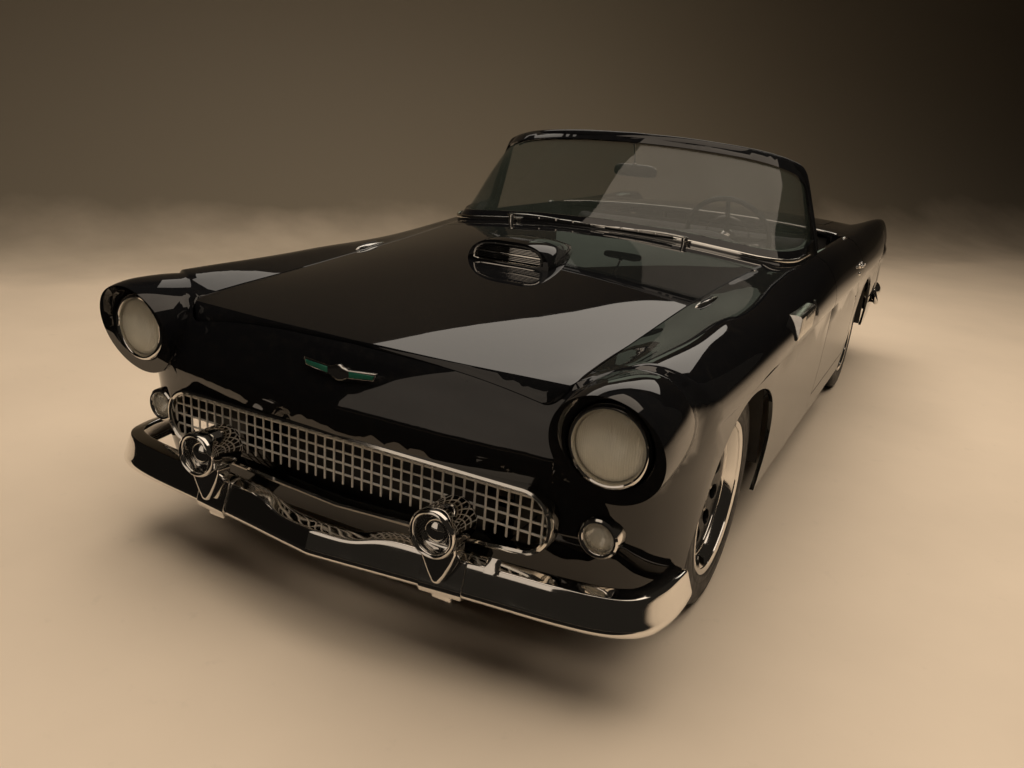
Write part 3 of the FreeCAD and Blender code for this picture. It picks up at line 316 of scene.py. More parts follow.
def card_material(name, colour, strength):
    """A card that glows evenly, with a faint fall-off in patches."""
    s = Shader(name)
    cloud = s.patches(0.3, 0.7, 0.8, 2.0)
    glow = s.node("ShaderNodeEmission", inputs={"Color": s.mix(cloud, shade(colour, 0.85), colour),
        "Strength": strength})
    return s.finish(glow)

# Modelling steps that the pieces share

def cleared():
    if bpy.context.object and bpy.context.object.mode != "OBJECT":
        bpy.ops.object.mode_set(mode="OBJECT")
    bpy.ops.object.select_all(action="DESELECT")


def chosen(made):
    cleared()
    made.select_set(True)
    bpy.context.view_layer.objects.active = made


def outline(points, name="outline", filled=False):
    """A circle primitive whose points are moved to the given places."""
    cleared()
    bpy.ops.mesh.primitive_circle_add(vertices=len(points), radius=1.0, fill_type="NGON" if filled else "NOTHING")
    made = bpy.context.object
    made.name = made.data.name = name
    for vertex, point in zip(made.data.vertices, points):
        vertex.co = point
    return made


@contextlib.contextmanager
def editing(made):
    """Edit mode on one piece, with all of it selected."""
    chosen(made)
    bpy.ops.object.mode_set(mode="EDIT")
    bpy.ops.mesh.select_all(action="SELECT")
    yield
    bpy.ops.object.mode_set(mode="OBJECT")


def tidied(made):
    """Merges doubles and turns every face outwards."""
    with editing(made):
        bpy.ops.mesh.remove_doubles(threshold=0.00002)
        bpy.ops.mesh.dissolve_degenerate(threshold=0.000005)
        bpy.ops.mesh.normals_make_consistent(inside=False)
    return made


def meshed(name, points, faces):
    """An object from points and faces."""
    mesh = bpy.data.meshes.new(name)
    mesh.from_pydata(points, [], faces)
    made = bpy.data.objects.new(name, mesh)
    bpy.context.collection.objects.link(made)
    return made


def turned(name, profile, centre, axis, steps=64):
    """A closed profile of (radius, along) points spun about an axis through centre."""
    axis = Vector(axis).normalized()
    side = axis.orthogonal().normalized()
    centre = Vector(centre)
    made = outline([centre + side * radius + axis * along for radius, along in profile], name)
    with editing(made):
        bpy.ops.mesh.spin(steps=steps, angle=2 * math.pi, center=centre, axis=axis)
    return tidied(made)


def slab(name, points, push, bevel=0.0, segments=3):
    """A flat outline pushed along a vector, its edges rounded."""
    made = outline(points, name, filled=True)
    with editing(made):
        bpy.ops.mesh.extrude_region_move(TRANSFORM_OT_translate={"value": Vector(push)})
    tidied(made)
    return rounded(made, bevel, segments) if bevel else made


def lofted(name, rings, caps=True, wrap=False):
    """Rings of points pulled one out of the other by extruding the last one."""
    made = outline(rings[0], name)
    bpy.ops.object.mode_set(mode="EDIT")
    bpy.ops.mesh.select_all(action="SELECT")
    if caps and not wrap:
        bpy.ops.mesh.edge_face_add()
    bm = bmesh.from_edit_mesh(made.data)
    bm.verts.ensure_lookup_table()
    last = list(bm.verts)
    edges = [edge for edge in bm.edges]
    for ring in rings[1:]:
        for item in list(bm.faces) + list(bm.edges) + list(bm.verts):
            item.select = False
        for edge in edges:
            edge.select = True
        result = bmesh.ops.extrude_edge_only(bm, edges=edges)
        fresh = [item for item in result["geom"] if isinstance(item, bmesh.types.BMVert)]
        edges = [item for item in result["geom"] if isinstance(item, bmesh.types.BMEdge)]
        known = set(fresh)
        follow = {}
        for vertex in fresh:
            for edge in vertex.link_edges:
                other = edge.other_vert(vertex)
                if other not in known:
                    follow[other] = vertex
        last = [follow[vertex] for vertex in last]
        for vertex, point in zip(last, ring):
            vertex.co = point
    if wrap:
        first = list(bm.verts)[:len(rings[0])]
        for a, b in zip(last, first):
            a.co = b.co
    elif caps:
        bm.faces.new(last)
    bmesh.update_edit_mesh(made.data)
    bpy.ops.object.mode_set(mode="OBJECT")
    return tidied(made)


def bars(name, spans, width, depth, across):
    """Many straight bars of one section: a plane laid along each span, then pushed to its depth."""
    corners, faces = [], []
    for a, b in spans:
        a, b = Vector(a), Vector(b)
        side = (b - a).cross(Vector(across)).normalized() * (width / 2)
        start = len(corners)
        corners += [a - side, a + side, b + side, b - side]
        faces.append((start, start + 1, start + 2, start + 3))
    made = meshed(name, corners, faces)
    with editing(made):
        bpy.ops.mesh.extrude_region_move(TRANSFORM_OT_translate={"value": Vector(across).normalized() * depth})
    return tidied(made)


def tube(name, points, radius, closed=False, smooth=True, sides=6):
    """A round bar along points, as a curve that is made a mesh."""
    cleared()
    curve = bpy.data.curves.new(name, "CURVE")
    curve.dimensions = "3D"
    curve.bevel_depth = radius
    curve.bevel_resolution = sides // 2
    curve.use_fill_caps = True
    line = curve.splines.new("NURBS" if smooth else "POLY")
    line.points.add(len(points) - 1)
    for point, place in zip(line.points, points):
        point.co = (*place, 1.0)
    if smooth:
        line.order_u = 3
        line.resolution_u = 8
        line.use_endpoint_u = not closed
    line.use_cyclic_u = closed
    made = bpy.data.objects.new(name, curve)
    bpy.context.collection.objects.link(made)
    chosen(made)
    bpy.ops.object.convert(target="MESH")
    return tidied(bpy.context.object)


def modified(made, kind, **settings):
    """Adds a modifier with its settings and applies it."""
    chosen(made)
    step = made.modifiers.new(kind.lower(), kind)
    for key, value in settings.items():
        setattr(step, key, value)
    bpy.ops.object.modifier_apply(modifier=step.name)
    return made


def rounded(made, width, segments=3, angle=35.0):
    return modified(made, "BEVEL", width=width, segments=segments, limit_method="ANGLE",
        angle_limit=math.radians(angle), harden_normals=False)


def refined(made):
    return modified(made, "SUBSURF", levels=1, render_levels=1)


def joined(parts, name):
    cleared()
    for part in parts:
        part.select_set(True)
    bpy.context.view_layer.objects.active = parts[0]
    if len(parts) > 1:
        bpy.ops.object.join()
    made = bpy.context.object
    made.name = made.data.name = name
    return made


def copied(made, name, change):
    """A copy with its own mesh, changed by a matrix."""
    copy = made.copy()
    copy.data = made.data.copy()
    copy.name = name
    bpy.context.collection.objects.link(copy)
    copy.data.transform(change)
    return copy


def twin(made, name):
    """A copy on the other side of the middle plane."""
    copy = copied(made, name, Matrix.Scale(-1, 4, X))
    copy.data.flip_normals()
    return copy


def dressed(made, material):
    """The piece takes a material in place of its own."""
    made.data.materials.clear()
    made.data.materials.append(material)


def placed(made, material, body="body", replaces=(), angle=40.0):
    """Finishes a piece: its place goes into its mesh, then shading, material and the body it rides on."""
    chosen(made)
    bpy.ops.object.transform_apply(location=True, rotation=True, scale=True)
    bpy.ops.object.shade_smooth_by_angle(angle=math.radians(angle))
    dressed(made, material)
    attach(made, body)
    if replaces:
        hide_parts(*replaces)


def paired(made, name, material, body="body", replaces=(), angle=40.0):
    """Places a left piece and its twin on the right; {} in a name stands for the side."""
    made.name = name.format("left")
    placed(made, material, body.format("left"), [node.format("left") for node in replaces], angle)
    placed(twin(made, name.format("right")), material, body.format("right"),
        [node.format("right") for node in replaces], angle)


def turns(count):
    """Angles of points spread evenly round a circle."""
    return [2 * math.pi * k / count for k in range(count)]


def fitted_normals(mesh, count=26, limit=0.82):
    """Corner normals from a smooth patch fitted to the points round each one, on its own side of every edge."""
    points = numpy.array([vertex.co for vertex in mesh.vertices])
    faces = mesh.polygons
    normals = numpy.array([face.normal for face in faces])
    areas = numpy.array([face.area for face in faces])
    by_edge = {}
    for face in faces:
        for key in face.edge_keys:
            by_edge.setdefault(key, []).append(face.index)
    side = list(range(len(faces)))

    def root(i):
        while side[i] != i:
            side[i] = side[side[i]]
            i = side[i]
        return i

    for pair in by_edge.values():
        if len(pair) == 2 and normals[pair[0]] @ normals[pair[1]] > limit:
            side[root(pair[0])] = root(pair[1])
    sums, members = {}, {}
    for face in faces:
        island = root(face.index)
        for vertex in face.vertices:
            key = (island, vertex)
            sums[key] = sums.get(key, 0.0) + normals[face.index] * areas[face.index]
            members.setdefault(island, set()).add(vertex)
    fitted = {}
    for island, vertices in members.items():
        vertices = sorted(vertices)
        first = {v: sums[(island, v)] / max(1e-12, numpy.linalg.norm(sums[(island, v)])) for v in vertices}
        if len(vertices) < 12:
            fitted.update({(island, v): first[v] for v in vertices})
            continue
        tree = kdtree.KDTree(len(vertices))
        for v in vertices:
            tree.insert(points[v], v)
        tree.balance()
        for v in vertices:
            n = first[v]
            near = [found[1] for found in tree.find_n(points[v], count)]
            near = [w for w in near if w != v and first[w] @ n > limit]
            if len(near) < 6:
                fitted[(island, v)] = n
                continue
            t = numpy.cross(n, (0.0, 0.0, 1.0) if abs(n[2]) < 0.9 else (1.0, 0.0, 0.0))
            t /= numpy.linalg.norm(t)
            b = numpy.cross(n, t)
            d = points[near] - points[v]
            reach = numpy.linalg.norm(d, axis=1)
            scale = reach.max()
            u, w, h = d @ t / scale, d @ b / scale, d @ n / scale
            weight = (1.0 - (reach / (scale * 1.05)) ** 2) ** 2
            rows = numpy.stack([u, w, u * u, u * w, w * w], axis=1)
            square = (rows * weight[:, None]).T @ rows + numpy.diag([2e-4] * 5) * weight.sum()
            slope = numpy.linalg.solve(square, (rows * weight[:, None]).T @ h)
            better = n - slope[0] * t - slope[1] * b
            fitted[(island, v)] = better / numpy.linalg.norm(better)
    result = []
    for face in faces:
        island = root(face.index)
        result += [Vector(fitted[(island, v)]) for v in face.vertices]
    return result


def polished(node, material, name):
    """A CAD panel's merged copy, with shading smooth enough for a gloss finish, in the panel's place."""
    source = frame["nodes"][node]
    made = bpy.data.objects.new(name, source.data.copy())
    bpy.context.collection.objects.link(made)
    normals = made.data.attributes.get("custom_normal")
    if normals:
        made.data.attributes.remove(normals)
    with editing(made):
        bpy.ops.mesh.remove_doubles(threshold=0.00003)
        bpy.ops.mesh.dissolve_degenerate(threshold=0.00001)
    made.data.shade_smooth()
    made.data.normals_split_custom_set(fitted_normals(made.data))
    dressed(made, material)
    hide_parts(node)
    return made


# What a user may change

# The solved view: where the lens stands, how it is turned in radians, and its focal length in pixels
VIEW_PLACE = (1.28527, -3.67736, 1.33607)
VIEW_YAW, VIEW_PITCH, VIEW_ROLL = 0.470613, 0.311557, 0.0748443
VIEW_FOCAL, VIEW_WIDTH, SENSOR_MM = 852.23, 1024.0, 36.0


class StudioSettings(bpy.types.PropertyGroup):
    light_height: bpy.props.FloatProperty(name="Light height", description="Height of the overhead light panel",
        default=3.3, min=2.0, unit="LENGTH")
    room_power: bpy.props.FloatProperty(name="Room light", description="Power of the wide soft light in watts",
        default=640.0, min=0.0)
    floor_colour: bpy.props.FloatVectorProperty(name="Floor colour", description="Colour of the studio floor",
        subtype="COLOR", default=(0.7, 0.57, 0.43), min=0.0, max=1.0)
    # The backdrop's colour is the floor's colour at about a fifth of its brightness: painted shade
    shaded_backdrop_colour: bpy.props.FloatVectorProperty(name="Backdrop colour", description="Colour of the backdrop's foot",
        subtype="COLOR", default=(0.14, 0.115, 0.082), min=0.0, max=1.0)


class HotRodSettings(bpy.types.PropertyGroup):
    paint_colour: bpy.props.FloatVectorProperty(name="Paint", description="Colour of the body paint", subtype="COLOR",
        default=(0.0045, 0.0045, 0.005), min=0.0, max=1.0)
    seat_colour: bpy.props.FloatVectorProperty(name="Upholstery", description="Colour of the seats and trims",
        subtype="COLOR", default=(0.022, 0.021, 0.02), min=0.0, max=1.0)
    glass_alpha: bpy.props.FloatProperty(name="Glass tint", description="How much the windscreen holds back",
        default=0.42, min=0.0, max=1.0, subtype="FACTOR")
    wire_pitch: bpy.props.FloatProperty(name="Grille pitch", description="Distance between the grille's wires",
        default=0.03, min=0.01, unit="LENGTH")
    badge_width: bpy.props.FloatProperty(name="Badge width", description="Width of the plain bar on the nose",
        default=0.225, min=0.05, unit="LENGTH")


class HOTROD_OT_stage(bpy.types.Operator):
    """Adds the studio floor and backdrop, the lights and the camera"""
    bl_idname = "hotrod.stage"
    bl_label = "Studio, lights and camera"

    def execute(self, context):
        settings = context.scene.hotrod_studio
        # The floor rises into the backdrop along a line that runs from the left front to the right rear
        across = at(0.59, 0.81, 0.0).normalized()
        away = at(-0.81, 0.59, 0.0).normalized()
        foot, sweep = 3.6, 2.4
        profile = [(-14.0, 0.0), (-6.0, 0.0), (0.0, 0.0), (foot, 0.0)]
        profile += [(foot + sweep * math.sin(a), sweep - sweep * math.cos(a)) for a in [math.radians(7.5 * i)
            for i in range(1, 13)]]
        profile += [(foot + sweep, 5.0), (foot + sweep, 9.0)]
        cleared()
        bpy.ops.mesh.primitive_grid_add(x_subdivisions=len(profile) - 1, y_subdivisions=5, size=2.0)
        floor = context.object
        floor.name = floor.data.name = "studio_floor"
        for vertex in floor.data.vertices:
            column = round((vertex.co.x + 1.0) / 2.0 * (len(profile) - 1))
            distance, height = profile[column]
            vertex.co = across * (4.0 + 20.0 * vertex.co.y) + away * distance + Z * height
        floor.data.shade_smooth()
        floor.data.materials.append(stage_material(tuple(settings.floor_colour), tuple(settings.shaded_backdrop_colour)))

        def card(name, corners, colour, strength):
            made = outline(corners, name, filled=True)
            made.data.materials.append(card_material(name, colour, strength))
            made.visible_camera = False
            made.visible_diffuse = False
            made.visible_shadow = False

        # Cards out of view that only the gloss shows: pale ones ahead and above, dark ones beside and under them; the
        # one under them is painted shade for the shadowed floor ahead of the car
        pale, grey = (1.0, 0.83, 0.66), (0.93, 1.0, 0.74)
        card("front_card", [(-1.67, -4.59, 0.72), (0.25, -5.7, 0.72), (0.25, -5.7, 4.2), (-1.67, -4.59, 4.2)], pale,
            0.62)
        card("dark_card", [(-6.0, -1.0, 0.0), (-1.7, -4.55, 0.0), (-1.7, -4.55, 3.0), (-6.0, -1.0, 3.0)], pale, 0.006)
        # A dark sheet just over the floor ahead of the car that only the gloss shows: painted shade, the floor's
        # shadow as the paint and chrome reflect it
        card("painted_floor_shade", [(-5.0, -9.0, 0.004), (6.0, -9.0, 0.004), (6.0, -4.4, 0.004), (1.6, -2.75, 0.004),
            (0.95, -2.42, 0.004), (-0.95, -2.42, 0.004), (-5.0, -3.2, 0.004)], pale, 0.01)
        card("top_card", [(-1.88, -3.0, 3.35), (2.2, -3.0, 3.35), (2.2, 0.45, 3.35), (0.32, 0.45, 3.35)], pale, 1.3)
        card("far_card", [(-2.6, 4.6, 1.7), (0.0, 6.6, 1.7), (0.0, 6.6, 3.25), (-2.6, 4.6, 3.25)], grey, 0.38)

        def panel(name, place, turn, size, power, colour=(1.0, 0.9, 0.78)):
            light = bpy.data.lights.new(name, "AREA")
            light.shape = "RECTANGLE"
            light.size, light.size_y = size
            light.energy = power
            light.color = colour
            made = bpy.data.objects.new(name, light)
            made.location = place
            made.rotation_euler = turn
            context.collection.objects.link(made)
            return made

        # One long panel overhead shows in the paint, a wide soft light over the room doesn't
        along, aside = at(0.548, 0.837, 0.0), at(0.837, -0.548, 0.0)
        corner = at(0.1, 5.75, settings.light_height)
        middle = corner - along * 2.95 + aside * 1.05
        panel("overhead_panel", middle, (0.0, 0.0, math.atan2(along.y, along.x) - math.pi / 2), (2.1, 5.9), 42.0)
        room = panel("room_light", (0.6, -0.6, 6.0), (0.0, 0.0, 0.0), (9.0, 9.0), settings.room_power)
        room.visible_glossy = False
        world = bpy.data.worlds.new("studio_air")
        world.use_nodes = True
        sky = world.node_tree.nodes["Background"]
        sky.inputs["Color"].default_value = (0.016, 0.0135, 0.0105, 1.0)
        sky.inputs["Strength"].default_value = 1.0
        context.scene.world = world

        lens = bpy.data.cameras.new("photo_camera")
        lens.sensor_width = SENSOR_MM
        lens.lens = VIEW_FOCAL * SENSOR_MM / VIEW_WIDTH
        eye = bpy.data.objects.new("photo_camera", lens)
        yaw, pitch, roll = VIEW_YAW, VIEW_PITCH, VIEW_ROLL
        forward = at(-math.sin(yaw) * math.cos(pitch), math.cos(yaw) * math.cos(pitch), -math.sin(pitch))
        right = forward.cross(Z).normalized()
        up = right.cross(forward)
        side = right * math.cos(roll) + up * math.sin(roll)
        top = up * math.cos(roll) - right * math.sin(roll)
        eye.matrix_world = (Matrix.Translation(VIEW_PLACE) @ Matrix((side, top, -forward)).transposed().to_4x4())
        context.collection.objects.link(eye)
        context.scene.camera = eye
        context.scene.view_settings.view_transform = "Standard"
        return {"FINISHED"}


PANELS = ("nose_panel", "front_fenders", "hood", "cowl_panel", "rear_quarters", "deck_panel", "trunk_lid",
    "tail_panel", "door_left", "door_right", "rockers")


class HOTROD_OT_panels(bpy.types.Operator):
    """Gives the painted body panels their gloss"""
    bl_idname = "hotrod.panels"
    bl_label = "Body panels"

    def execute(self, context):
        paint = paint_material(tuple(context.scene.hotrod.paint_colour))
        for node in PANELS:
            made = polished(node, paint, node + "_painted")
            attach(made, body_of(frame["nodes"][node])[0])
        return {"FINISHED"}


# Front end

BLADE_PLAN = ((0, -2206, 237, 312), (110, -2193, 237, 312), (210, -2180, 237, 336), (335, -2165, 237, 336),
    (485, -2149, 237, 336), (627, -2135, 237, 336), (735, -2117, 237, 336), (802, -2090, 237, 336),
    (842, -2050, 237, 336), (864, -1985, 239, 334), (872, -1920, 241, 332), (873, -1850, 247, 326))
GUARD_X, GUARD_Z, GUARD_TIP = 0.369, 0.415, -2.226
GRILLE_HALF, GRILLE_TOP, GRILLE_FOOT, GRILLE_SAG, GRILLE_Y = 0.606, 0.527, 0.364, 0.048, -2.07
GRILLE_RADIUS = (GRILLE_TOP - GRILLE_FOOT) * 0.48


def between(stations, count):
    """Smooth points between stations, in metres from millimetres."""
    rows = [numpy.array(row, float) / 1000.0 for row in stations]
    rows = [2 * rows[0] - rows[1]] + rows + [2 * rows[-1] - rows[-2]]
    result = []
    for i in range(1, len(rows) - 2):
        a, b, c, d = rows[i - 1:i + 3]
        for k in range(count):
            t = k / count
            result.append(0.5 * (2 * b + (c - a) * t + (2 * a - 5 * b + 4 * c - d) * t * t
                + (3 * b - a - 3 * c + d) * t ** 3))
    return result + [rows[-2]]


def blade_ring(x, y, low, high, outward, proud=0.0):
    """Section of a bumper blade: rolled foot, face that leans back, crease and sloping top."""
    c, foot, top = (low + (high - low) * 0.9) * 1000, low * 1000, high * 1000
    section = [(-14, 5), (-8, 1), (1, -0.5), (8, 3), (12, 10), (12.5, 17), (10.5, 24), (8, 30)]
    points = [(d + proud * (1 if d > -9 else -1), foot + h - (proud if h < 6 else 0)) for d, h in section]
    rise = c - foot - 32
    edge = 8 - 0.33 * rise
    points += [(8 - 0.33 * rise * t + proud, foot + 30 + rise * t) for t in (0.33, 0.66, 1.0)]
    points += [(edge - 2 + proud, c + proud), (edge - 5, c + 0.8 + proud), (-30, c + (top - c) * 0.5 + proud),
        (-45, top - 0.6 + proud), (-49, top - 2), (-49, top - 6), (edge - 10, c - 8), (-8 - proud * 0.5, foot + 36),
        (0, foot + 16), (-10, foot + 10)]
    return [at(x, y, 0.0) + outward * (d / 1000.0) + Z * (h / 1000.0) for d, h in points]


def blade_rings(rows, proud=0.0, side=1):
    """Sections set out along a blade; side is -1 where the outside lies on the left of its path."""
    rings = []
    for i, (x, y, low, high) in enumerate(rows):
        a, b = rows[max(0, i - 1)], rows[min(len(rows) - 1, i + 1)]
        along = at(b[0] - a[0], b[1] - a[1], 0.0).normalized()
        rings.append(blade_ring(x, y, low, high, at(along.y, -along.x, 0.0) * side, proud))
    return rings


class HOTROD_OT_front_bumper(bpy.types.Operator):
    """Builds the front bumper: its blade, and two guards with ring, barrel, dome, shield, strap and clamp"""
    bl_idname = "hotrod.front_bumper"
    bl_label = "Front bumper"

    def execute(self, context):
        chrome = chrome_material("bumper_chrome")
        half = between(BLADE_PLAN, 6)
        whole = [(-x, y, low, high) for x, y, low, high in reversed(half[1:])] + [tuple(row) for row in half]
        blade = refined(lofted("bumper_blade", blade_rings(whole)))
        placed(blade, chrome, "body", ("front_bumper",), 50.0)
        x0 = GUARD_X
        rows = [(x0 + dx, -2.1625 + dx * 0.117, 0.237, 0.336) for dx in (-0.056, -0.052, -0.02, 0.02, 0.052, 0.056)]
        strap = lofted("guard_strap", blade_rings(rows, 4.0))
        rounded(strap, 0.002, 2, 50.0)
        ring = turned("guard_ring", mm((59.5, 30), (61.5, 16), (61, 8), (58, 2), (54, 0), (50, 2), (47.5, 7), (46, 14),
            (45, 45), (49, 50), (56, 50)), (x0, GUARD_TIP, GUARD_Z), Y, 72)
        barrel = turned("guard_barrel", mm((0, 34), (46, 34), (57, 36), (57.5, 55), (57.5, 108), (54.5, 119),
            (48, 124), (0, 126)), (x0, GUARD_TIP, GUARD_Z), Y, 72)
        dome = turned("guard_dome", mm((0, 10), (12, 11.5), (22, 15.5), (29, 21), (32.5, 28), (35, 34.5), (0, 36)),
            (x0, GUARD_TIP, GUARD_Z), Y, 64)
        points = mm((-48, -30), (48, -30), (50, -52), (42, -78), (26, -112), (12, -136), (0, -144), (-12, -136),
            (-26, -112), (-42, -78), (-50, -52))
        shield = slab("guard_shield", [(x0 + x, -2.198, GUARD_Z + z) for x, z in points], (0, 0.055, 0))
        rounded(shield, 0.011, 5, 40.0)
        clamp = slab("guard_clamp", [(x0 + x, -2.16, z) for x, z in mm((-30, 214), (24, 214), (24, 262), (-30, 262))],
            (0, 0.04, 0), 0.003)
        clip = slab("guard_clip", [(x0 + 0.1, -2.15, 0.318), (x0 + 0.135, -2.146, 0.318), (x0 + 0.135, -2.128, 0.342),
            (x0 + 0.1, -2.132, 0.342)], (0, 0.004, 0.008), 0.002)
        guard = joined([ring, barrel, dome, shield, strap, clamp, clip], "bumper_guard_left")
        paired(guard, "bumper_guard_{}", chrome, "body", ("front_bumper",))
        return {"FINISHED"}


def grille_edge(shrink, y, steps=10):
    """The grille opening's outline, drawn in by shrink, its lower edge sagging in the middle."""
    side, top, foot = GRILLE_HALF - shrink, GRILLE_TOP - shrink, GRILLE_FOOT + shrink
    radius = GRILLE_RADIUS - shrink
    points = []
    for i in range(steps + 1):
        a = math.pi / 2 * i / steps
        points.append((side - radius + radius * math.sin(a), y, top - radius + radius * math.cos(a)))
    for i in range(steps + 1):
        a = math.pi / 2 * i / steps
        points.append((side - radius + radius * math.cos(a), y, foot + radius - radius * math.sin(a)))
    for i in range(1, 12):
        t = i / 12.0
        x = (side - radius) * (1 - 2 * t)
        points.append((x, y, foot - GRILLE_SAG * (0.82 * (1 - abs(x) / side)) * 0.9))
    points += [(-x, y, z) for x, y, z in reversed(points[:2 * steps + 2])]
    return points


class HOTROD_OT_grille(bpy.types.Operator):
    """Builds the grille's crossed wires, its surround and the lower strip"""
    bl_idname = "hotrod.grille"
    bl_label = "Grille"

    def execute(self, context):
        pitch = context.scene.hotrod.wire_pitch
        chrome = chrome_material("grille_chrome", (0.8, 0.78, 0.74), (0.06, 0.14))
        rim = lofted("grille_rim", [grille_edge(shrink, GRILLE_Y + y) for shrink,
            y in ((-0.004, -0.02), (-0.001, -0.029), (0.005, -0.032), (0.0105, -0.028), (0.012, -0.018),
            (0.011, 0.006), (-0.004, 0.006), (-0.004, -0.02))], caps=False, wrap=True)
        spans = []
        radius = GRILLE_RADIUS
        low = GRILLE_FOOT + 0.022

        def reach(z):
            """Half width of the opening at a height."""
            top, foot = GRILLE_TOP - radius, GRILLE_FOOT + radius
            out = max(0.0, z - top, foot - z)
            return GRILLE_HALF - 0.008 - radius + math.sqrt(max(0.0, radius ** 2 - out ** 2))

        z = GRILLE_TOP - pitch * 0.8
        while z > low + pitch * 0.5:
            spans.append(((-reach(z), GRILLE_Y - 0.01, z), (reach(z), GRILLE_Y - 0.01, z)))
            z -= pitch
        x = -GRILLE_HALF + pitch * 0.45
        while x < GRILLE_HALF - 0.004:
            out = max(0.0, abs(x) - (GRILLE_HALF - radius))
            rise = math.sqrt(max(0.0, radius ** 2 - out ** 2))
            high, foot = GRILLE_TOP - radius + rise - 0.006, GRILLE_FOOT + radius - rise + 0.006
            spans.append(((x, GRILLE_Y - 0.013, max(low, foot)), (x, GRILLE_Y - 0.013, high)))
            x += pitch
        wires = bars("grille_wires", spans, 0.0056, 0.004, (0, 1, 0))
        rounded(wires, 0.0012, 2, 40.0)
        strip = tube("grille_strip", [(x, GRILLE_Y - 0.021, GRILLE_FOOT + 0.01 - 0.04 * (1 - (x / 0.56) ** 2) ** 1.0)
            for x in (-0.5, -0.4, -0.3, -0.2, -0.1, 0.0, 0.1, 0.2, 0.3, 0.4, 0.5)], 0.006)
        placed(rim, chrome, "body", ("grille",))
        placed(wires, satin_metal("grille_silver", (0.86, 0.83, 0.77), 0.35, metallic=0.35), "body", ("grille",))
        placed(strip, chrome, angle=60.0)
        return {"FINISHED"}


class HOTROD_OT_head_lamps(bpy.types.Operator):
    """Builds the head lamps and the parking lamps: rings, bowls, bulbs and ribbed lenses"""
    bl_idname = "hotrod.head_lamps"
    bl_label = "Head and parking lamps"

    def execute(self, context):
        chrome = chrome_material("lamp_chrome")
        bowl_metal = chrome_material("lamp_bowl_silver", (0.86, 0.85, 0.8), (0.1, 0.2))
        lens = lens_material("head_lamp_glass", (0.88, 0.88, 0.8), 0.5, 0.0052)
        small_lens = lens_material("parking_lamp_glass", (0.72, 0.7, 0.62), 0.34, 0.0045)
        dark = moulded_material("lamp_seal", (0.01, 0.01, 0.01), 0.6)
        pieces = []
        spot = at(0.717, -2.083, 0.674)
        ring = turned("head_lamp_ring", mm((80, 4), (81.2, -6), (85, -11.8), (89, -13), (93.5, -10), (97.2, -3),
            (98.5, 8), (98.5, 23), (82, 23)), spot, Y, 96)
        pieces.append((ring, chrome, "lamp_rims"))
        bowl = turned("head_lamp_bowl", mm((0, 70), (14, 68), (30, 62), (48, 51), (64, 36), (79.5, 13), (79.5, 20),
            (66, 41), (49, 56), (0, 75)), spot, Y, 96)
        pieces.append((bowl, bowl_metal, "lamp_rims"))
        bulb = turned("head_lamp_bulb", mm((0, 18), (8, 20), (12.5, 27), (13.5, 36), (12, 60), (0, 64)), spot, Y, 40)
        cap = turned("head_lamp_shade", mm((0, 8), (10, 9.5), (16.5, 14), (18, 22), (16.5, 22), (15, 15.5), (0, 10.5)),
            spot + at(0.004, 0.0, 0.004), Y, 48)
        pieces.append((joined([bulb, cap], "head_lamp_bulb"), bowl_metal, None))
        glass = turned("head_lamp_lens", mm((0, -19.5), (18, -19), (36, -16.5), (54, -12.5), (68, -7.5), (77, -2.5),
            (80.5, 2), (80.5, 6), (74, 4), (54, -8.5), (30, -14.5), (0, -16.5)), spot, Y, 96)
        pieces.append((glass, lens, "front_lamp_lenses"))
        seal = turned("head_lamp_seal", mm((98.5, 10), (112, 4), (114, 12), (100, 26)), spot, Y, 96)
        pieces.append((seal, dark, None))
        spot = at(0.7, -2.04, 0.432)
        ring = turned("parking_lamp_ring", mm((34.5, 4), (35.2, -4), (39, -8), (44, -8.5), (48.5, -5), (49.8, 4),
            (49.8, 55), (34.5, 55)), spot, Y, 64)
        pieces.append((ring, chrome, "lamp_rims"))
        inner = turned("parking_lamp_bowl", mm((0, 30), (20, 26), (34.5, 10), (34.5, 16), (20, 34), (0, 38)), spot, Y,
            48)
        pieces.append((inner, bowl_metal, None))
        glass = turned("parking_lamp_lens", mm((0, -9.8), (10, -9.6), (20, -7.5), (29, -2), (34.2, 3), (34.2, 8),
            (26, 4), (0, -5)), spot, Y, 64)
        pieces.append((glass, small_lens, "front_lamp_lenses"))
        for made, material, node in pieces:
            paired(made, made.name + "_{}", material, "body", (node,) if node else ())
        return {"FINISHED"}


class HOTROD_OT_badge(bpy.types.Operator):
    """Builds the plain bar on the nose, with its two enamelled inlays"""
    bl_idname = "hotrod.badge"
    bl_label = "Nose bar"

    def execute(self, context):
        width = context.scene.hotrod.badge_width
        chrome = chrome_material("badge_chrome")
        enamel = moulded_material("badge_enamel", (0.012, 0.1, 0.065), 0.2, 120.0)
        spot = at(0.0, -2.093, 0.69)
        h = width / 2

        def wing(scale, lift, name):
            points = [(-1.0, 0.019), (-0.93, -0.002), (-0.22, -0.01), (-0.13, -0.017), (0.0, -0.02), (0.13, -0.017),
                (0.22, -0.01), (0.93, -0.002), (1.0, 0.019), (0.26, 0.012), (0.11, 0.016), (0.05, 0.021),
                (-0.05, 0.021), (-0.11, 0.016), (-0.26, 0.012)]
            return slab(name, [spot + at(x * h * scale, -lift + abs(x) * 0.004, z * scale) for x, z in points],
                (0, 0.01, 0))

        bar = rounded(wing(1.0, 0.004, "nose_bar"), 0.0022, 3, 40.0)
        placed(bar, chrome)
        for side in (-1, 1):
            points = [(0.3, -0.006), (0.92, 0.002), (0.95, 0.013), (0.3, 0.009)]
            inlay = slab("nose_bar_inlay_" + ("left" if side > 0 else "right"),
                [spot + at(side * x * h, -0.0052 + x * 0.004, z) for x, z in points], (0, 0.003, 0), 0.0006, 2)
            placed(inlay, enamel)
        return {"FINISHED"}


# Wheels

AXLES = (("front", -1.405), ("rear", 1.186))
TRACK, TYRE_RADIUS = 0.722, 0.322


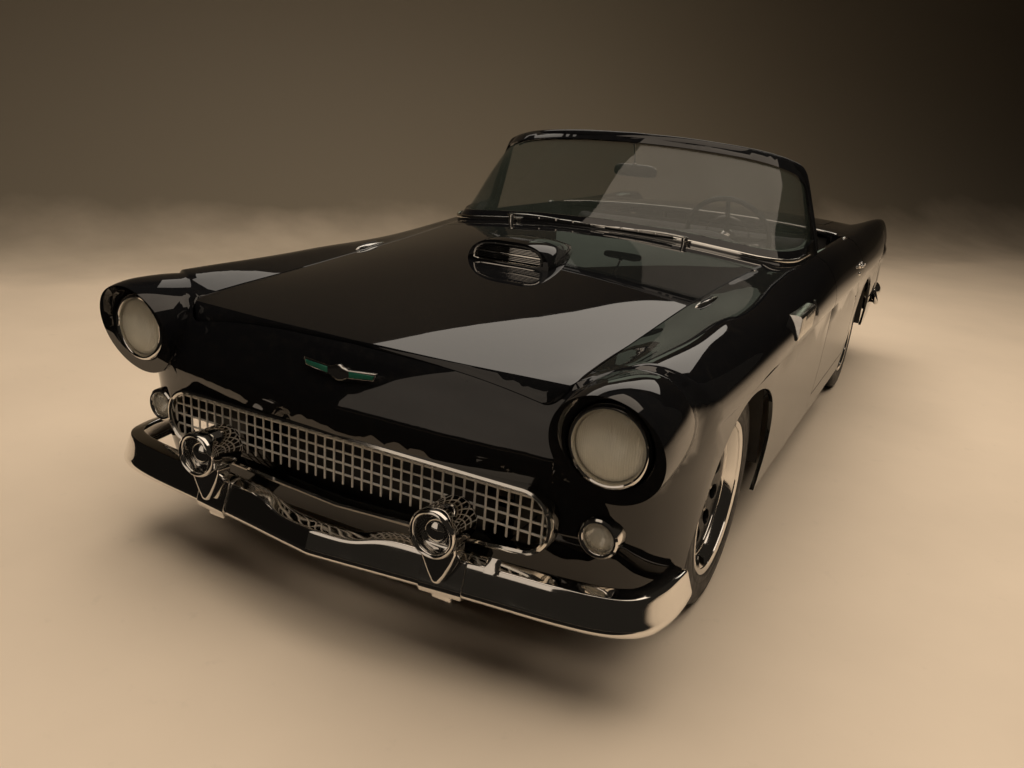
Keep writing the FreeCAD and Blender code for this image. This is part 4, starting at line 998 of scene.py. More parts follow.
def tread_blocks(name, centre):
    """Rows of tread blocks: one modelled for each row and copied round the tyre."""
    rows = ((-0.066, 0.026, 58, 0.0), (-0.034, 0.028, 64, 0.5), (0.0, 0.026, 64, 0.0), (0.034, 0.028, 64, 0.5),
        (0.066, 0.026, 58, 0.0))
    verts, faces = [], []
    for across, width, count, shift in rows:
        drop = 0.0016 if abs(across) > 0.05 else 0.0
        arc = 2 * math.pi * TYRE_RADIUS / count - 0.0042
        for i in range(count):
            turn = 2 * math.pi * (i + shift) / count
            start = len(verts)
            for radius, shrink in ((TYRE_RADIUS - 0.008, 0.0), (TYRE_RADIUS - 0.0006 - drop, 0.0012)):
                for a, b in ((-1, -1), (1, -1), (1, 1), (-1, 1)):
                    angle = turn + a * (arc / 2 - shrink) / TYRE_RADIUS + b * 0.006
                    verts.append(centre + at(across + b * (width / 2 - shrink), radius * math.sin(angle),
                        radius * math.cos(angle)))
            faces += [(start + 4, start + 5, start + 6, start + 7)]
            faces += [(start + k, start + (k + 1) % 4, start + 4 + (k + 1) % 4, start + 4 + k) for k in range(4)]
            faces += [(start + 3, start + 2, start + 1, start)]
    return tidied(meshed(name, verts, faces))


class HOTROD_OT_wheels(bpy.types.Operator):
    """Builds the tyres with their tread and the wheels with their stepped lips, centres and nuts"""
    bl_idname = "hotrod.wheels"
    bl_label = "Wheels and tyres"

    def execute(self, context):
        rubber = rubber_material()
        lip_metal = chrome_material("wheel_lip_polish", (0.8, 0.78, 0.75), (0.05, 0.12))
        centre_paint = moulded_material("wheel_centre_black", (0.008, 0.008, 0.0085), 0.28, 90.0)
        hub_metal = satin_metal("wheel_nut_steel", (0.42, 0.4, 0.37), 0.3)
        centre = at(TRACK, AXLES[0][1], TYRE_RADIUS)
        half = 0.1025
        side = [(radius, half + out) for radius, out in mm((214, -10), (218, -8.5), (226.2, -7.5), (229, -5.5),
            (233, -1.5), (240, 0.2), (248, -0.8), (250, -2), (252, -0.8), (268, 0), (286, -0.5), (289, -2.2),
            (291.5, -1), (299, -2.6), (306, -5), (311, -9), (315, -15), (317.2, -21))]
        tread = mm((316.5, 75), (314.2, 52), (314.2, -52), (316.5, -75))
        profile = side + tread + [(r, -x) for r, x in reversed(side)]
        tyre = turned("tyre_carcass", profile, centre, X, 128)
        tyre = joined([tyre, tread_blocks("tyre_tread", centre)], "tyre")
        barrel = turned("wheel_barrel", mm((225.5, 92.8), (226.6, 97), (225, 100.2), (221.5, 100.8), (217, 99.4),
            (210.5, 95.8), (208.5, 88.8), (207, 82.8), (202, 76.8), (197.5, 74.3), (196.2, 68.8), (195.5, 62.8),
            (192.5, 58.8), (190, 57.6), (188.4, 50), (185.8, 0), (186.2, -62), (199, -86), (208, -92.8),
            (225.5, -96.8), (226.2, -92.8), (210.5, -92.3), (200.8, -80), (187.2, -60), (186.8, 48), (199, 82.8),
            (208, 92.3)), centre, X, 128)
        ring = turned("wheel_inner_ring", mm((188, 57), (186.8, 63), (183.5, 65.2), (179.5, 64), (177, 60),
            (176.8, 56)), centre, X, 128)
        lip = joined([barrel, ring], "wheel_lip")
        # The centre: a dished disc with round holes, spoked between them
        disc = turned("wheel_disc", mm((0, 12), (0, 50), (60, 50), (82, 43), (98, 44), (130, 52), (162, 57.8),
            (185.5, 59), (185.5, 42), (130, 38), (90, 23), (70, 12)), centre, X, 120)
        cutters = []
        hole_circle, nut_circle = 0.13, 0.0575
        for turn in turns(10):
            spot = centre + at(0.045, hole_circle * math.sin(turn), hole_circle * math.cos(turn))
            cleared()
            bpy.ops.mesh.primitive_cylinder_add(vertices=36, radius=0.0235, depth=0.12, location=spot,
                rotation=(0.0, math.pi / 2, 0.0))
            cutters.append(context.object)
        cutter = joined(cutters, "wheel_hole_cutter")
        modified(disc, "BOOLEAN", operation="DIFFERENCE", object=cutter, solver="EXACT")
        bpy.data.objects.remove(cutter)
        rounded(disc, 0.0018, 2, 50.0)
        nuts = []
        cap = turned("wheel_cap", mm((0, 64), (18, 63), (34, 59), (39.5, 54), (40.5, 49), (0, 48)), centre, X, 64)
        for turn in turns(5):
            turn += 0.3
            spot = centre + at(0.0, nut_circle * math.sin(turn), nut_circle * math.cos(turn))
            nut = turned("wheel_nut", mm((0, 60), (4.5, 59.4), (8.2, 57), (9.2, 56), (9.5, 49), (0, 48.5)), spot, X, 6)
            nuts.append(nut)
        nuts = joined([cap] + nuts, "wheel_cap_and_nuts")
        valve = tube("wheel_valve", [centre + at(0.07, 0.0, 0.196), centre + at(0.08, 0.0, 0.19),
            centre + at(0.094, 0.0, 0.186)], 0.0036)
        pieces = ((tyre, rubber, "tyre_"), (lip, lip_metal, "rim_"), (disc, centre_paint, "rim_"),
            (nuts, hub_metal, "rim_"), (valve, centre_paint, None))
        for made, material, node in pieces:
            dressed(made, material)
            for end, y in AXLES:
                name = "%s_%s_" % (made.name, end)
                copy = copied(made, name + "left", Matrix.Translation((0, y - AXLES[0][1], 0)))
                for side, other in (("left", copy), ("right", twin(copy, name + "right"))):
                    wheel = "%s_%s" % (end, side)
                    placed(other, material, "wheel_" + wheel, (node + wheel,) if node else (), 38.0)
            bpy.data.objects.remove(made)
        return {"FINISHED"}

# Windscreen, wipers and mirror

SCREEN_BASE = ((0, -440, 906), (300, -440, 898), (500, -438, 882), (620, -428, 870), (700, -395, 864),
    (736, -320, 866), (750, -180, 874), (754, -20, 885))
SCREEN_TOP = ((0, -217, 1276), (220, -205, 1271), (400, -160, 1258), (520, -112, 1243), (590, -80, 1227),
    (626, -62, 1214), (646, -53, 1204), (657, -45, 1195))


def swept(name, path, section, up=Z):
    """A section of (outward, up) points carried along a path; up is one direction or one for each point."""
    rings = []
    for i, point in enumerate(path):
        along = (path[min(i + 1, len(path) - 1)] - path[max(i - 1, 0)]).normalized()
        out = along.cross(up[i] if isinstance(up, list) else up).normalized()
        rise = out.cross(along).normalized()
        rings.append([point + out * a + rise * b for a, b in section])
    return lofted(name, rings)


def oval(width, height, sides=12, squareness=0.75):
    """Rounded section as (outward, up) points."""
    points = []
    for a in turns(sides):
        c, s = math.cos(a), math.sin(a)
        points.append((width / 2 * math.copysign(abs(c) ** squareness, c),
            height / 2 * math.copysign(abs(s) ** squareness, s)))
    return points


def mirrored_path(rows):
    """Points of the left half, from the middle outwards, with the right half before them."""
    half = [at(x, y, z) for x, y, z in rows]
    return [at(-p.x, p.y, p.z) for p in reversed(half[1:])] + half


class HOTROD_OT_windscreen(bpy.types.Operator):
    """Builds the windscreen: gloss frame, tinted glass, bright base moulding and seals"""
    bl_idname = "hotrod.windscreen"
    bl_label = "Windscreen"

    def execute(self, context):
        settings = context.scene.hotrod
        paint = paint_material(tuple(settings.paint_colour), "screen_frame_paint")
        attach(polished("windscreen_frame", paint, "windscreen_frame_painted"), "body")
        glass = glass_material("windscreen_tint", (0.03, 0.036, 0.028), settings.glass_alpha)
        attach(polished("windscreen_glass", glass, "windscreen_pane"), "body")
        bright = chrome_material("screen_moulding_bright", (0.84, 0.82, 0.78), (0.04, 0.09))
        rubber = moulded_material("screen_seal", (0.008, 0.008, 0.008), 0.55)
        low = mirrored_path(between(SCREEN_BASE[:7], 5))
        rail = [p + Z * 0.004 + (at(0, -0.0135, 0) if abs(p.x) < 0.62
            else at(math.copysign(0.0135 * min(1.0, (abs(p.x) - 0.62) / 0.08), p.x),
            -0.0135 * max(0.0, 1.0 - (abs(p.x) - 0.62) / 0.1), 0)) for p in low]
        moulding = swept("screen_base_moulding", rail, oval(0.009, 0.019, 12))
        placed(moulding, bright, angle=50.0)
        inner = [at(p.x * 0.985, p.y + 0.02, p.z + 0.02) for p in low]
        bead = swept("screen_inner_bead", inner, oval(0.008, 0.02, 10))
        placed(bead, rubber, angle=50.0)
        high = mirrored_path(mm(*SCREEN_TOP))
        rows = [at(p.x * 0.985, p.y + 0.0155, p.z - 0.032) for p in high if abs(p.x) < 0.64]
        edge = swept("screen_header_bead", rows, oval(0.006, 0.012, 10))
        placed(edge, rubber, angle=50.0)
        # Rounded header and pillars, with the way outwards from the pane at each point
        rim = ((757, 4, 872, 0, 1, 0), (736, -4, 945, 0, 1, 0.1), (706, -18, 1045, 0, 1, 0.2),
            (680, -31, 1130, 0, 1, 0.4), (664, -42, 1168, 0.2, 0.9, 0.7), (646, -54, 1188, 0.4, 0.7, 0.8),
            (620, -69, 1200, 0.3, 0.6, 0.85), (584, -87, 1212, 0.1, 0.55, 0.86), (516, -117, 1228, 0, 0.52, 0.86),
            (400, -167, 1243, 0, 0.52, 0.86), (220, -212, 1256, 0, 0.52, 0.86), (0, -225, 1261, 0, 0.52, 0.86))
        rows = between(rim, 4)
        rows = [(-row[0], *row[1:3], -row[3], *row[4:]) for row in rows[:-1]] + list(reversed(rows))
        path, ups = [Vector(row[:3]) for row in rows], [Vector(row[3:]) for row in rows]
        rounded_frame = swept("screen_header", path, oval(0.03, 0.039, 20, 0.8), ups)
        placed(rounded_frame, paint, angle=60.0)
        for side, sign in SIDES:
            # Foot of each pillar: a bright cap where the frame meets the cowl
            spot = at(sign * 0.7575, -0.03, 0.889)
            cap = slab("pillar_cap_" + side, [spot + at(0, y, z) for y, z in mm((-52, -4), (20, 0), (22, 20),
                (-40, 12))], (-sign * 0.006, 0, 0), 0.002)
            placed(cap, bright)
        return {"FINISHED"}


class HOTROD_OT_wipers(bpy.types.Operator):
    """Builds the two wipers: posts, spring arms, blades and rubbers"""
    bl_idname = "hotrod.wipers"
    bl_label = "Wipers"

    def execute(self, context):
        bright = chrome_material("wiper_bright", (0.8, 0.78, 0.74), (0.06, 0.14))
        rubber = moulded_material("wiper_rubber", (0.008, 0.008, 0.008), 0.6)
        for side, pivot, tip in (("left", 0.35, 0.02), ("right", -0.4, -0.04)):
            reach = tip - pivot
            post = turned("wiper_post", mm((0, 0), (16.5, 0), (16.5, 3), (11.5, 6), (10.5, 24), (12.5, 26), (12.5, 36),
                (10.5, 40), (0, 42)), (pivot, -0.484, 0.878), Z, 36)
            rows = []
            for t, width, height in ((-0.05, 0.007, 0.004), (0.0, 0.017, 0.01), (0.08, 0.016, 0.01),
                    (0.22, 0.012, 0.01), (0.45, 0.008, 0.007), (0.62, 0.006, 0.004)):
                place = at(pivot + reach * t, -0.484 - 0.004 * t, 0.918 + 0.01 * min(1.0, t * 3) - 0.008 * t)
                rows.append([place + at(0, b, a) for b, a in oval(width, height, 10)])
            arm = lofted("wiper_arm", rows)
            start, end = at(pivot + reach * 0.14, -0.4835, 0.9155), at(tip, -0.4875, 0.9195)
            spine = []
            for i in range(15):
                t = i / 14.0
                thick = 0.0022 + 0.003 * math.sin(math.pi * t) ** 0.5
                place = start.lerp(end, t) + Z * 0.0016 * math.sin(math.pi * t)
                spine.append([place + at(0, b, a) for b, a in oval(0.0058, thick * 2, 8)])
            blade = lofted("wiper_blade", spine)
            clips = [slab("wiper_clip", [start.lerp(end, t) + at(dx, -0.0052, dz) for dx, dz in mm((-7, -4), (7, -4),
                (5, 6), (-5, 6))], (0, 0.0104, 0), 0.0012, 2) for t in (0.25, 0.5, 0.75)]
            whole = joined([post, arm, blade] + clips, "wiper_%s_metal" % side)
            placed(whole, bright, "body", ("wipers",))
            strip = bars("wiper_%s_rubber" % side, [(start + at(0, 0.006, -0.0075), end + at(0, 0.006, -0.0075))],
                0.009, 0.0022, (0, -1, 0))
            rounded(strip, 0.0007, 2)
            placed(strip, rubber, "body", ("wipers",))
        return {"FINISHED"}


class HOTROD_OT_mirror(bpy.types.Operator):
    """Builds the inside mirror: foot, stem, shell, bright rim and looking glass"""
    bl_idname = "hotrod.mirror"
    bl_label = "Inside mirror"

    def execute(self, context):
        bright = chrome_material("mirror_bright")
        shell_black = moulded_material("mirror_shell_black", (0.011, 0.012, 0.011), 0.35)
        glass = chrome_material("mirror_glass_silver", (0.8, 0.82, 0.8), (0.006, 0.014))
        centre = at(0.0, -0.165, 1.125)

        def face(width, height, y, dx=0.0):
            points = []
            for a in turns(40):
                c, s = math.cos(a), math.sin(a)
                points.append(centre + at(math.copysign(abs(c) ** 0.42, c) * width, y, math.copysign(abs(s) ** 0.55,
                    s) * height - 0.003 * abs(c) ** 2))
            return points

        shell = lofted("mirror_shell", [face(0.055, 0.01, -0.003), face(0.084, 0.019, 0.0),
            face(0.0925, 0.0235, 0.005), face(0.0945, 0.0248, 0.012), face(0.0945, 0.0248, 0.0152)])
        rim = lofted("mirror_rim", [face(0.0945, 0.0248, 0.0125), face(0.0955, 0.0256, 0.014),
            face(0.095, 0.0252, 0.0172), face(0.0922, 0.0228, 0.0176), face(0.0915, 0.0222, 0.016),
            face(0.0915, 0.0222, 0.0125), face(0.0945, 0.0248, 0.0125)], caps=False, wrap=True)
        pane = lofted("mirror_pane", [face(0.0918, 0.0224, 0.014), face(0.0918, 0.0224, 0.0158)])
        foot = slab("mirror_foot", [(x, -0.213, z) for x, z in mm((-20, 1236), (20, 1236), (16, 1262), (-16, 1262))],
            (0, 0.02, 0), 0.004)
        stem = tube("mirror_stem", [at(0, -0.204, 1.25), at(0, -0.192, 1.225), at(0, -0.176, 1.19),
            at(0, -0.163, 1.15), at(0, -0.16, 1.135)], 0.0045, sides=10)
        ball = turned("mirror_ball", mm((0, -10), (6, -8), (9.5, -3), (9.5, 3), (6, 8), (0, 10)), (0, -0.163, 1.15), Z,
            24)
        placed(shell, shell_black, "body", ("mirror",), 50.0)
        placed(joined([rim, foot, stem, ball], "mirror_bright_parts"), bright, "body", ("mirror",))
        placed(pane, glass)
        return {"FINISHED"}

# Body trims

TREES = {}


def landing(nodes, start, towards):
    """Where a line first meets the given CAD nodes."""
    best = None
    for node in nodes:
        if node not in TREES:
            mesh = frame["nodes"][node].data
            TREES[node] = BVHTree.FromPolygons([v.co for v in mesh.vertices],
                [list(p.vertices) for p in mesh.polygons])
        spot, _, _, distance = TREES[node].ray_cast(Vector(start), Vector(towards))
        if spot is not None and (best is None or distance < best[1]):
            best = (spot, distance)
    if best is None:
        raise RuntimeError("a trim finds no panel at %s" % (tuple(start),))
    return best[0]


def hoop(place, width, height, count):
    """Points of an upright ellipse across the car."""
    return [place + at(width * math.cos(a), 0, height * math.sin(a)) for a in turns(count)]


def frame_top(node, x, y):
    """Height of a CAD node's top at a place."""
    return landing((node,), (x, y, 1.4), (0, 0, -1)).z


class HOTROD_OT_scoop(bpy.types.Operator):
    """Builds the hood scoop's mouth: its rim, the thin bars and the thick bar between them"""
    bl_idname = "hotrod.scoop"
    bl_label = "Hood scoop mouth"

    def execute(self, context):
        bright = chrome_material("scoop_bright", (0.84, 0.82, 0.78), (0.04, 0.1))
        dark = grime_material("scoop_inside_black", (0.005, 0.005, 0.005), 0.8)

        half_width, sill, rise = 0.1215, 0.8665, 0.0495

        def mouth(grow, y):
            """Outline of the mouth: a low arch on a flat sill."""
            points = []
            for i in range(24):
                a = math.pi * i / 23.0
                c, s = math.cos(a), math.sin(a)
                points.append(at(math.copysign(abs(c) ** 0.55, c) * (half_width + grow), y,
                    sill + (rise + grow) * abs(s) ** 0.62))
            points += [at(x, y, 0.865 - grow) for x in (-0.1, -0.05, 0.0, 0.05, 0.1)]
            return points

        rim = lofted("scoop_rim", [mouth(-0.001, -1.25), mouth(0.0005, -1.253), mouth(0.0035, -1.254),
            mouth(0.006, -1.2525), mouth(0.006, -1.249), mouth(0.003, -1.244), mouth(-0.0005, -1.24),
            mouth(-0.001, -1.25)], caps=False, wrap=True)
        spans = []
        for z in (0.8715, 0.8765, 0.8815, 0.896, 0.9005, 0.905, 0.9095):
            reach = 0.118 if z < 0.895 else 0.118 - (z - 0.895) * 1.9
            spans.append(((-reach, -1.2475, z), (reach, -1.2475, z)))
        thin = bars("scoop_thin_bars", spans, 0.0018, 0.03, (0, 1, 0))
        rounded(thin, 0.0004, 2, 40.0)
        thick = bars("scoop_thick_bar", [((-0.121, -1.2505, 0.8888), (0.121, -1.2505, 0.8888))], 0.0062, 0.03,
            (0, 1, 0))
        rounded(thick, 0.002, 3, 40.0)
        placed(joined([rim, thin, thick], "hood_scoop_bright"), bright, "hood", ("hood_scoop_grille",))
        back = slab("hood_scoop_screen", [(x, -1.212, z) for x, z in mm((-112, 868), (112, 868), (104, 904), (88, 913),
            (-88, 913), (-104, 904))], (0, 0.003, 0))
        placed(back, dark, "hood")
        return {"FINISHED"}


class HOTROD_OT_side_trims(bpy.types.Operator):
    """Builds the ornaments behind the front wheels and on top of the fenders"""
    bl_idname = "hotrod.side_trims"
    bl_label = "Fender trims"

    def execute(self, context):
        bright = chrome_material("fender_trim_bright", (0.8, 0.78, 0.74), (0.1, 0.2))
        recess = moulded_material("fender_trim_recess", (0.01, 0.01, 0.01), 0.4)

        def skin(y, z):
            return landing(("front_fenders",), (1.3, y, z), (-1, 0, 0))

        parts = []
        # The ribbed panel: its face stands upright, its top edge bridges back to the fender
        low, high, face, count = 0.694, 0.772, 0.8835, 15
        rings = []
        for i in range(count * 4 + 1):
            t = i / (count * 4.0)
            lift = 0.0026 if i % 4 in (1, 2) else 0.0
            ring = []
            for part, out in ((0.0, 0.0), (0.03, 0.7), (0.1, 1.0), (0.35, 1.0), (0.65, 1.0), (0.9, 1.0), (0.98, 0.85),
                    (1.0, 0.5), (1.0, 0.0)):
                z = low + (high - low) * part
                y = -0.9 + 0.255 * t + 0.02 * part
                base = skin(y, z)
                ring.append(base + X * ((face - base.x) * out + lift * (1 if 0.0 < part < 1.0 else 0.2)))
            ring += [ring[-1] - X * 0.005, ring[0] - X * 0.005]
            rings.append(ring)
        parts.append(lofted("fender_louvre", rings))
        # The small upright bar beside it, left plain
        upright = []
        for z in (0.716, 0.728, 0.742, 0.756, 0.768):
            upright.append([skin(-0.532 + dy, z) + X * dx for dx, dy in mm((0, -10), (4, -8), (6.2, 0), (4, 8),
                (0, 10), (-3, 0))])
        parts.append(lofted("fender_upright", upright))
        # The drop on top of the fender
        rings = []
        for t, width in ((0.0, 0.001), (0.04, 0.006), (0.15, 0.011), (0.35, 0.0145), (0.6, 0.0125), (0.85, 0.0065),
                (0.97, 0.003), (1.0, 0.001)):
            y = -1.232 + 0.19 * t
            x = 0.628 + 0.016 * t
            place = landing(("front_fenders",), (x, y, 1.3), (0, 0, -1))
            rings.append(hoop(place - Z * 0.0005, width, width * 0.85, 16))
        parts.append(refined(lofted("fender_drop", rings)))
        paired(joined(parts, "fender_trims"), "fender_trims_{}", bright, angle=35.0)
        slot = []
        for t, width in ((0.0, 0.001), (0.3, 0.0042), (0.7, 0.0036), (1.0, 0.001)):
            y = -1.195 + 0.1 * t
            place = landing(("front_fenders",), (0.632 + 0.008 * t, y, 1.3), (0, 0, -1)) + Z * 0.0112
            slot.append(hoop(place, width, 0.0018, 10))
        paired(lofted("fender_drop_inlay", slot), "fender_drop_inlay_{}", recess, angle=60.0)
        return {"FINISHED"}


class HOTROD_OT_handles(bpy.types.Operator):
    """Builds the outside door handles with their feet and locks"""
    bl_idname = "hotrod.handles"
    bl_label = "Door handles"

    def execute(self, context):
        bright = chrome_material("handle_bright")
        level = 0.752
        parts = []
        for y, radius in mm((620, 13.5), (690, 12)):
            seat = landing(("door_left",), (1.3, y, level), (-1, 0, 0))
            parts.append(turned("handle_foot", [(0.0, -0.004), (radius, -0.004), (radius, 0.001),
                (radius * 0.85, 0.005), (radius * 0.55, 0.01), (radius * 0.5, 0.018), (0.0, 0.02)], seat, X, 32))
        seat = landing(("door_left",), (1.3, 0.655, level), (-1, 0, 0)).x
        rings = []
        for t, width, height in ((0.0, 0.003, 0.004), (0.03, 0.009, 0.012), (0.1, 0.012, 0.018), (0.3, 0.01, 0.017),
                (0.6, 0.009, 0.015), (0.9, 0.009, 0.012), (0.97, 0.007, 0.009), (1.0, 0.003, 0.003)):
            y = 0.603 + 0.108 * t
            place = at(min(0.8905, seat + 0.0165 + 0.004 * math.sin(math.pi * t)), y, level)
            rings.append(hoop(place, width / 2, height / 2, 16))
        parts.append(refined(lofted("handle_grip", rings)))
        seat = landing(("door_left",), (1.3, 0.606, level - 0.034), (-1, 0, 0))
        parts.append(turned("handle_lock", mm((0, -3), (10.5, -3), (10.5, 2), (8.5, 4.5), (5, 5), (4.5, 3.5),
            (0, 3.5)), seat, X, 32))
        paired(joined(parts, "handle"), "handle_{}_bright", bright, "door_{}", ("door_handle_{}",))
        return {"FINISHED"}


class HOTROD_OT_deck_trims(bpy.types.Operator):
    """Builds the bright strip round the back of the cockpit and the caps at its ends"""
    bl_idname = "hotrod.deck_trims"
    bl_label = "Cockpit strip"

    def execute(self, context):
        bright = chrome_material("deck_strip_bright", (0.84, 0.82, 0.78), (0.05, 0.12))
        rows = []
        for x, y in mm((0, 800), (150, 800), (300, 800), (420, 800), (520, 799), (600, 796), (660, 790), (705, 780),
                (735, 765)):
            spot = landing(("deck_panel", "rear_quarters"), (x, y, 1.3), (0, 0, -1))
            rows.append((spot.x, spot.y, spot.z + 0.002))
        strip = swept("deck_strip", mirrored_path(rows), oval(0.018, 0.01, 12))
        placed(strip, bright, angle=50.0)
        rings = []
        for t, width in ((0.0, 0.002), (0.05, 0.008), (0.25, 0.011), (0.75, 0.011), (0.95, 0.008), (1.0, 0.002)):
            place = landing(("door_left",), (0.782, 0.668 + 0.058 * t, 1.3), (0, 0, -1))
            rings.append(hoop(place, width, width * 0.7, 14))
        paired(refined(lofted("door_cap", rings)), "door_cap_{}", bright, "door_{}", angle=60.0)
        return {"FINISHED"}

# Cabin

def pad(name, rows, half_width, shrink=0.0, steps=44, corner=0.035):
    """A crowned pad across the car: rows are (y, z) points of its section, drawn in towards both ends."""
    points = [at(0, y, z) for y, z in rows]
    middle = sum(points, Vector()) / len(points)
    rings = []
    for i in range(steps + 1):
        a = math.pi * (i / steps) - math.pi / 2
        t = math.sin(a)
        x = half_width * t
        near = (half_width - abs(x)) / corner
        scale = 1.0 if near >= 1.0 else math.sqrt(max(0.02, 1.0 - (1.0 - near) ** 2 * 0.72))
        crown = 1.0 + 0.02 * (1.0 - t * t)
        rings.append([middle + (p - middle) * (scale * crown - shrink) + X * x for p in points])
    return lofted(name, rings)


def rounded_section(corners, radii, steps=6):
    """Section with rounded corners from (y, z) points."""
    points = []
    count = len(corners)
    for i, (spot, radius) in enumerate(zip(corners, radii)):
        here = Vector(spot)
        a = (Vector(corners[i - 1]) - here).normalized()
        b = (Vector(corners[(i + 1) % count]) - here).normalized()
        reach = radius / math.tan(a.angle(b) / 2)
        start, end = here + a * reach, here + b * reach
        for k in range(steps + 1):
            t = k / steps
            points.append(tuple(start * (1 - t) ** 2 + here * 2 * t * (1 - t) + end * t ** 2))
    long = []
    for i, point in enumerate(points):
        other = points[(i + 1) % len(points)]
        span = Vector(other) - Vector(point)
        pieces = max(1, int(span.length / 0.022))
        long += [tuple(Vector(point) + span * (k / pieces)) for k in range(pieces)]
    return long


def puffed(made, cell, cap):
    """Fills a pad with air: an even remesh, twenty steps of cloth under pressure, and a cap on how far it swells."""
    modified(made, "REMESH", mode="VOXEL", voxel_size=cell, adaptivity=0.0)
    start = [vertex.co.copy() for vertex in made.data.vertices]
    cloth = made.modifiers.new("cloth", "CLOTH")
    cloth.settings.quality = 4
    cloth.settings.mass = 0.3
    cloth.settings.tension_stiffness = 12.0
    cloth.settings.compression_stiffness = 12.0
    cloth.settings.bending_stiffness = 1.2
    cloth.settings.use_pressure = True
    cloth.settings.uniform_pressure_force = 4.0
    cloth.settings.effector_weights.gravity = 0.0
    cloth.point_cache.frame_start = 1
    cloth.point_cache.frame_end = 20
    for number in range(1, 21):
        bpy.context.scene.frame_set(number)
    chosen(made)
    bpy.ops.object.modifier_apply(modifier=cloth.name)
    bpy.context.scene.frame_set(1)
    for vertex, place in zip(made.data.vertices, start):
        step = vertex.co - place
        if step.length > cap:
            vertex.co = place + step * (cap / step.length)
    return made


def channelled(made, lines, depth, width, inside):
    """Presses sewn channels into a pad: lines are positions across it, inside says where the sewing runs."""
    made.data.update()
    normals = [vertex.normal.copy() for vertex in made.data.vertices]
    for vertex, normal in zip(made.data.vertices, normals):
        if not inside(vertex.co, normal):
            continue
        near = min(abs(vertex.co.x - line) for line in lines)
        if near < width:
            vertex.co -= normal * depth * (1.0 - near / width) ** 1.6
        else:
            vertex.co += normal * depth * 0.35
    return made


class HOTROD_OT_seats(bpy.types.Operator):
    """Builds the bench seat: two bases, pleated cushion and back, piping, bright side hinges"""
    bl_idname = "hotrod.seats"
    bl_label = "Seats"

    def execute(self, context):
        colour = tuple(context.scene.hotrod.seat_colour)
        hide = leather_material("seat_hide", colour)
        plain = leather_material("seat_hide_plain", shade(colour, 0.7), 300.0)
        bright = chrome_material("seat_bright", (0.78, 0.76, 0.72), (0.08, 0.18))
        low = rounded_section([(0.158, 0.44), (0.158, 0.494), (0.692, 0.47), (0.692, 0.44)],
            [0.018, 0.026, 0.012, 0.012])
        cushion = pad("seat_cushion_pad", low, 0.632, 0.01)
        tall = rounded_section([(0.566, 0.486), (0.684, 0.48), (0.758, 0.836), (0.688, 0.841)],
            [0.02, 0.016, 0.024, 0.03])
        back = pad("seat_back_pad", tall, 0.632, 0.01)
        cells = (cushion, 0.0085, 0.012), (back, 0.0085, 0.01)
        for made, cell, cap in cells:
            puffed(made, cell, cap)
        pleats = [-0.555 + 0.0555 * i for i in range(21)]
        sewn = 0.0075, 0.013
        channelled(cushion, pleats, *sewn, lambda p, n: n.z > 0.6 and 0.215 < p.y < 0.62 and abs(p.x) < 0.565)
        channelled(back, pleats, *sewn, lambda p, n: n.y < -0.5 and 0.53 < p.z < 0.775 and abs(p.x) < 0.565)
        for made, node in ((cushion, "seat_cushion"), (back, "seat_back")):
            modified(made, "SMOOTH", factor=0.4, iterations=1)
            placed(made, hide, "body", (node,), 60.0)
        # Piping round the pleated fields, and the plain base under each half
        def ring(corners):
            return [corners[i].lerp(corners[(i + 1) % 4], t) for i in range(4) for t in (0.04, 0.5, 0.96)]

        seat_line = ring([at(x, y, z) for x, y, z in ((-0.575, 0.205, 0.507), (0.575, 0.205, 0.507),
            (0.575, 0.626, 0.489), (-0.575, 0.626, 0.489))])
        back_line = ring([at(x, y, z) for x, y, z in ((-0.575, 0.568, 0.522), (0.575, 0.568, 0.522),
            (0.575, 0.662, 0.782), (-0.575, 0.662, 0.782))])
        welts = [tube("seat_welt", seat_line, 0.0032, closed=True, sides=6), tube("back_welt", back_line, 0.0032,
            closed=True, sides=6)]
        placed(joined(welts, "seat_piping"), plain, angle=60.0)
        for side, sign in SIDES:
            box_points = [at(sign * x, 0.206, z) for x, z in mm((142, 275.5), (618, 275.5), (612, 444.5),
                (148, 444.5))]
            base = slab("seat_base_" + side, box_points, (0, 0.48, 0), 0.01, 4)
            placed(base, plain, "body", ("seat_cushion",))
            hinge = slab("seat_hinge_" + side, [(sign * 0.6335, y, z) for y, z in mm((600, 462), (640, 452),
                (672, 470), (676, 520), (648, 540), (622, 520))], (sign * 0.004, 0, 0), 0.0015)
            placed(hinge, bright)
        return {"FINISHED"}


DASH_Y, COLUMN_X = -0.184, 0.348


